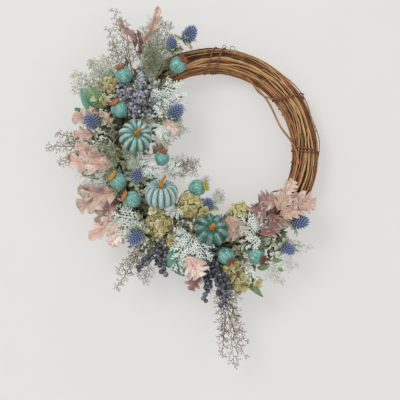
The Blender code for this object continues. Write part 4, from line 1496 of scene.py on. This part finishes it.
# %% Lance leaf and small leaves
SMALL_LEAVES = (  # root, tip, width, tone, roll
    ((272, 70, 14), (294, 128, 10), 17, 0.2, 25), ((326, 62, 8), (342, 74, 8), 10, 0.2, 0),
    ((118, 44, 10), (112, 66, 14), 10, 0.35, 0), ((300, 64, 12), (318, 72, 12), 14, 0.3, 20),
    ((-178, -86, 8), (-196, -70, 12), 14, 0.3, 0), ((344, 30, 8), (360, 50, 8), 10, 0.3, 10),
    ((330, 84, 6), (334, 96, 6), 8, 0.25, 0), ((-212, 60, 6), (-222, 84, 8), 14, 0.6, 10),
)
leaf_pick("green_leaf_sprigs", "small leaves", None, SMALL_LEAVES, little_leaf, 0.5, [smooth_leaf])

# %% [markdown]
# ## Twig sprays
# Airy sprays of fine forked twigs with tiny buds break the outline at the top left, the left and the
# bottom. A spray is grown: a main twig, side twigs in turn, twiglets on those, and a bud on each tip.


# %% Twig finish
def twig_recipe(tree, place):
    here = growth_of(tree)
    colour = scale_of(tree, here.tone, (0.0, "4f3b2c"), (0.25, "856c59"), (0.5, "7d7654"), (0.75, "97a17c"),
                      (1.0, "c6cfb9"))
    patch = patches_of(tree, place, 120.0, 0.3, 0.7)
    return dabbed(tree, patch, 0.35, colour, "5e5340"), patch


twig_finish = finish("twig", twig_recipe, 0.85, 0.3)


# %% Growing a spray
SPREAD = 0.75  # how steeply side twigs leave the main one
KNOTS = 14


def spray(bm, chance, root, tip, reach, pairs, twiglets, tone, main=1.2, bare=0.25, bud=0.7):
    """A main twig with side twigs and twiglets, all bent a little towards the tip."""
    axis = tip - root
    length = axis.length
    axis.normalize()
    across = axis.cross(FRONT).normalized()
    sway = across * length * chance.uniform(-0.04, 0.04)
    stem = bend(root, axis * length * 0.33 + sway, -axis * length * 0.33 + sway, tip, KNOTS)
    tube(bm, stem, taper(KNOTS, main * MM, 0.35), 5, tone)
    for k in range(pairs * 2):
        share = bare + (0.97 - bare) * (k + chance.uniform(0, 0.7)) / (pairs * 2)
        knot = share * (KNOTS - 1)
        at = stem[min(KNOTS - 1, int(knot))].lerp(stem[min(KNOTS - 1, int(knot) + 1)], knot % 1)
        side = (-1 if k % 2 else 1) * chance.uniform(0.6, 1.1)
        way = (axis + across * side * SPREAD + FRONT * chance.uniform(-0.3, 0.3)).normalized()
        with part_of(bm) as part:
            side_twig(part, chance, at, way, axis, reach * (1.05 - 0.7 * share), twiglets, tone, main, bud)


def side_twig(bm, chance, at, way, axis, reach, twiglets, tone, main, bud):
    """A side twig that bends to the tip of its spray, and its forked twiglets, each with a bud."""
    long = reach * chance.uniform(0.6, 1.15)
    twig = bend(at, way * long * 0.3, -axis * long * 0.25, at + way * long, 6)
    tone = clamp(tone + chance.uniform(-0.2, 0.2))
    tube(bm, twig, taper(6, main * 0.8 * MM, 0.6), 4, tone)
    for j in range(twiglets):
        knot = 1 + j * 4 // twiglets
        fork = twig[knot].lerp(twig[min(5, knot + 1)], chance.random())
        turn = (1 if j % 2 else -1) * chance.uniform(0.6, 1.3)
        lean = (way + way.cross(FRONT) * turn + some_way(chance) * 0.4).normalized()
        short = long * chance.uniform(0.22, 0.46) + 4 * MM
        stop = fork + lean * short
        tube(bm, [fork, (fork + stop) / 2 + axis * short * 0.1, stop], [0, main * 0.6 * MM, 0.3 * MM], 3, tone)
        half_way, side = fork.lerp(stop, 0.45), lean.cross(FRONT) * chance.choice((-1, 1))
        for tip in (stop, half_way + (lean + side * 0.9).normalized() * short * 0.5):
            if tip is not stop:
                tube(bm, [half_way, (half_way + tip) / 2, tip], [0, main * 0.5 * MM, 0.2 * MM], 3, tone)
            ball = bmesh.ops.create_icosphere(bm, subdivisions=1, radius=bud * chance.uniform(0.6, 1.1) * MM,
                                              matrix=Matrix.Translation(tip))["verts"]
            for vert in ball:
                grow(bm, vert, 1, 0, min(1, tone + 0.12))


SPRAYS = {  # piece: solid, sprays as root, tip, reach, pairs, twiglets, tone
    "twigs_top_left": ("twig_spray_top_left", (
        ((-225, 14, 4), (-281, 176, 8), 32, 9, 3, 0.45), ((-222, 30, 4), (-262, 150, 4), 30, 6, 3, 0.5),
        ((-236, 30, 6), (-286, 138, 12), 26, 5, 3, 0.4), ((-226, 40, 12), (-252, 116, 16), 26, 5, 4, 0.6))),
    "twigs_left_upper": ("twig_spray_left_upper", (
        ((-195, 14, 4), (-190, 143, 8), 34, 9, 5, 0.85), ((-200, 30, 6), (-216, 128, 10), 32, 8, 5, 0.8),
        ((-206, 40, 6), (-232, 108, 12), 30, 7, 5, 0.9), ((-190, 46, 4), (-176, 130, 6), 30, 7, 5, 0.95),
        ((-200, 40, 12), (-204, 104, 18), 28, 7, 5, 0.95))),
    "twigs_left": ("twig_spray_left", (
        ((-95, 14, 4), (-94, 156, 8), 32, 8, 3, 0.35), ((-96, 30, 6), (-112, 140, 4), 28, 6, 3, 0.45),
        ((-92, 40, 6), (-74, 132, 12), 26, 6, 3, 0.32), ((-100, 36, 12), (-102, 116, 16), 26, 5, 4, 0.5))),
    "twigs_lower_left": ("twig_spray_lower_left", (
        ((90, 14, 4), (104, 163, 6), 24, 8, 3, 0.42), ((88, 30, 6), (92, 134, 10), 22, 5, 3, 0.5),
        ((98, 30, 8), (120, 114, 12), 22, 4, 3, 0.5), ((94, 40, 12), (106, 112, 16), 20, 4, 3, 0.6))),
    "twigs_bottom": ("twig_spray_bottom", (
        ((235, 14, 4), (247, 264, 6), 34, 11, 4, 0.22), ((240, 60, 6), (262, 216, 10), 26, 6, 4, 0.3),
        ((236, 60, 8), (238, 206, 4), 26, 6, 4, 0.26), ((240, 40, 8), (254, 160, 10), 22, 5, 4, 0.5),
        ((243, 140, 7), (236, 238, 8), 26, 4, 3, 0.2), ((246, 140, 9), (259, 246, 8), 26, 4, 3, 0.24))),
}
for name, (solid, sprays) in SPRAYS.items():
    chance = random.Random(name)
    bm = new_mesh()
    for root, tip, reach, pairs, twiglets, tone in sprays:
        spray(bm, chance, spot(*root), spot(*tip), reach * MM, pairs, twiglets, tone)
    piece(bm, name, [twig_finish], solid)

# %% More sprays: the soft plume at the top, and thin ones inside and right
MORE_SPRAYS = (  # root, tip, reach, pairs, twiglets, tone, bud
    ((-262, 2, 14), (-318, 112, 10), 32, 12, 5, 0.7, 1.0), ((-272, 6, 18), (-336, 92, 12), 30, 11, 5, 0.55, 1.0),
    ((-256, 2, 16), (-300, 104, 8), 30, 11, 5, 0.8, 1.0), ((-280, 0, 20), (-334, 62, 22), 28, 10, 5, 0.58, 1.0),
    ((-262, -4, 22), (-296, 76, 26), 28, 9, 5, 0.75, 1.0), ((-270, 0, 24), (-314, 84, 20), 30, 9, 5, 0.9, 1.0),
    ((-292, -10, 18), (-340, 34, 22), 24, 8, 5, 0.5, 1.0), ((-252, -6, 24), (-276, 50, 30), 26, 7, 5, 0.95, 1.0),
    ((-266, -8, 30), (-290, 46, 34), 24, 7, 5, 0.6, 1.0), ((-272, 20, 12), (-330, 106, 14), 26, 8, 4, 0.3, 1.0),
    ((20, -96, 14), (-8, -148, 12), 26, 6, 4, 0.5, 0.9), ((40, -110, 12), (30, -160, 10), 24, 5, 4, 0.45, 0.9),
    ((-10, -76, 18), (2, -132, 16), 24, 6, 4, 0.6, 0.9),
    ((-20, -84, 12), (-44, -136, 8), 22, 5, 4, 0.8, 0.8), ((330, 30, 10), (352, 104, 8), 28, 6, 4, 0.9, 0.7),
    ((320, 40, 8), (322, 112, 6), 28, 6, 4, 0.9, 0.7), ((340, 20, 14), (372, 70, 8), 26, 6, 4, 0.9, 0.7),
    ((344, 24, 10), (384, 92, 6), 26, 6, 4, 0.9, 0.7), ((-190, -70, 8), (-170, -114, 6), 22, 5, 4, 0.8, 0.8),
    ((-212, -84, 6), (-216, -124, 6), 20, 5, 4, 0.75, 0.8), ((120, 60, 6), (130, 114, 10), 24, 6, 3, 0.5, 0.9),
    ((150, -110, 8), (176, -140, 6), 20, 5, 4, 0.8, 0.8), ((230, -84, 8), (258, -112, 6), 20, 5, 4, 0.8, 0.8),
    ((-130, 20, 14), (-134, 74, 26), 26, 6, 4, 0.5, 0.9), ((-96, -10, 20), (-72, 20, 34), 24, 6, 4, 0.7, 0.9),
    ((-90, -30, 22), (-66, -62, 28), 24, 6, 4, 0.8, 0.9), ((-140, -66, 14), (-120, -100, 20), 24, 6, 4, 0.8, 0.9),
    ((-66, 10, 26), (-40, 34, 36), 22, 6, 4, 0.7, 0.9), ((176, -50, 20), (196, -90, 20), 22, 6, 4, 0.7, 0.9),
    ((262, -30, 16), (290, -62, 16), 22, 6, 4, 0.7, 0.9), ((278, 20, 18), (290, 62, 22), 24, 6, 4, 0.6, 0.9),
    ((250, 60, 14), (262, 118, 14), 24, 6, 3, 0.5, 0.9), ((206, 30, 12), (222, 96, 10), 24, 6, 3, 0.5, 0.9),
    ((-104, -4, 28), (-84, -30, 38), 20, 6, 4, 0.95, 0.9), ((-92, 14, 26), (-100, 48, 34), 22, 6, 4, 0.9, 0.9),
    ((-76, -16, 30), (-50, -34, 38), 20, 6, 4, 1.0, 0.9), ((-160, -20, 24), (-176, -56, 28), 22, 6, 4, 0.85, 0.9),
)
bm = new_mesh()
chance = random.Random("more sprays")
for root, tip, reach, pairs, twiglets, tone, bud in MORE_SPRAYS:
    spray(bm, chance, spot(*root), spot(*tip), reach * MM, pairs, twiglets, tone, 0.8, 0.1, bud)
piece(bm, "twig_sprigs", [twig_finish], None)

# %% [markdown]
# ## Moss and small greenery
# Between the picks the bundle is hidden by short sprigs of grey-green leaf, painted darker where they sit deep, as
# painted shade.
# Each sprig is five small blades of a few faces each, so hundreds of them stay light.


# %% Filler finish
def filler_recipe(tree, place):
    here = growth_of(tree)
    colour = scale_of(tree, here.tone, (0.0, "3b3f31"), (0.3, "636851"), (0.6, "959b80"), (0.85, "bec4ab"),
                      (1.0, "dfe3d2"))
    lit = remap(tree, here.along, 0.0, 1.0, 0.0, 0.3)
    colour = mixed(tree, lit, colour, "b9c09c")
    patch = patches_of(tree, place, 80.0, 0.3, 0.7)
    return dabbed(tree, patch, 0.3, colour, "5c5a3a"), patch


filler_finish = finish("small_greenery", filler_recipe, 0.8, 0.2)


# %% Filler sprigs
def small_outline(u):
    return max(0.05, math.sin(math.pi * u ** 0.8)) if 0 < u < 1 else 0.03


def small_sprig(bm, chance, arc, out):
    """Five little leaves on a shoot that leans away from the bundle."""
    lift = chance.uniform(-8, 18) - abs(out) * 0.3
    centre = spot(arc, out, lift)
    aim = math.degrees(angle_at(arc)) + (0 if out > 0 else 180) + chance.uniform(-80, 80)
    axis = heading(aim, chance.uniform(0, 60))
    # tone rises with lift, so sprigs that sit deep are darker: painted shade
    tone = clamp(0.36 + lift / 45 + chance.uniform(-0.25, 0.5))
    for leaf in range(5):
        way = (axis + some_way(chance) * 0.8).normalized()
        root = centre + axis * 2.6 * MM * leaf
        blade(bm, root, root + way * chance.uniform(8, 15) * MM, chance.uniform(3.4, 6) * MM, small_outline,
              FRONT, 3, 2, 0, 0.3, 0.1, 0, tone)


FILLERS = {  # piece: first arc, last arc, sprigs
    "small_greenery_left": (-290, 20, 820), "small_greenery_bottom": (20, 376, 760),
}
for name, (first, last, count) in FILLERS.items():
    chance = random.Random(name)
    bm = new_mesh()
    for _ in range(count // 10):
        with part_of(bm) as part:
            for _ in range(10):
                small_sprig(part, chance, chance.uniform(first, last), max(-56, min(60, chance.gauss(4, 27))))
    thicken(bm, 0.4 * MM)
    piece(bm, name, [filler_finish], None)

# %% [markdown]
# ## Triangles and the end
# The finished wreath has to stay in the frame's box, give or take what soft leaves may stand proud.
# The last line prints how many triangles the pieces have in all.

# %% Count the triangles
print("triangles in all", sum(made_pieces.values()), "in", len(made_pieces), "pieces")
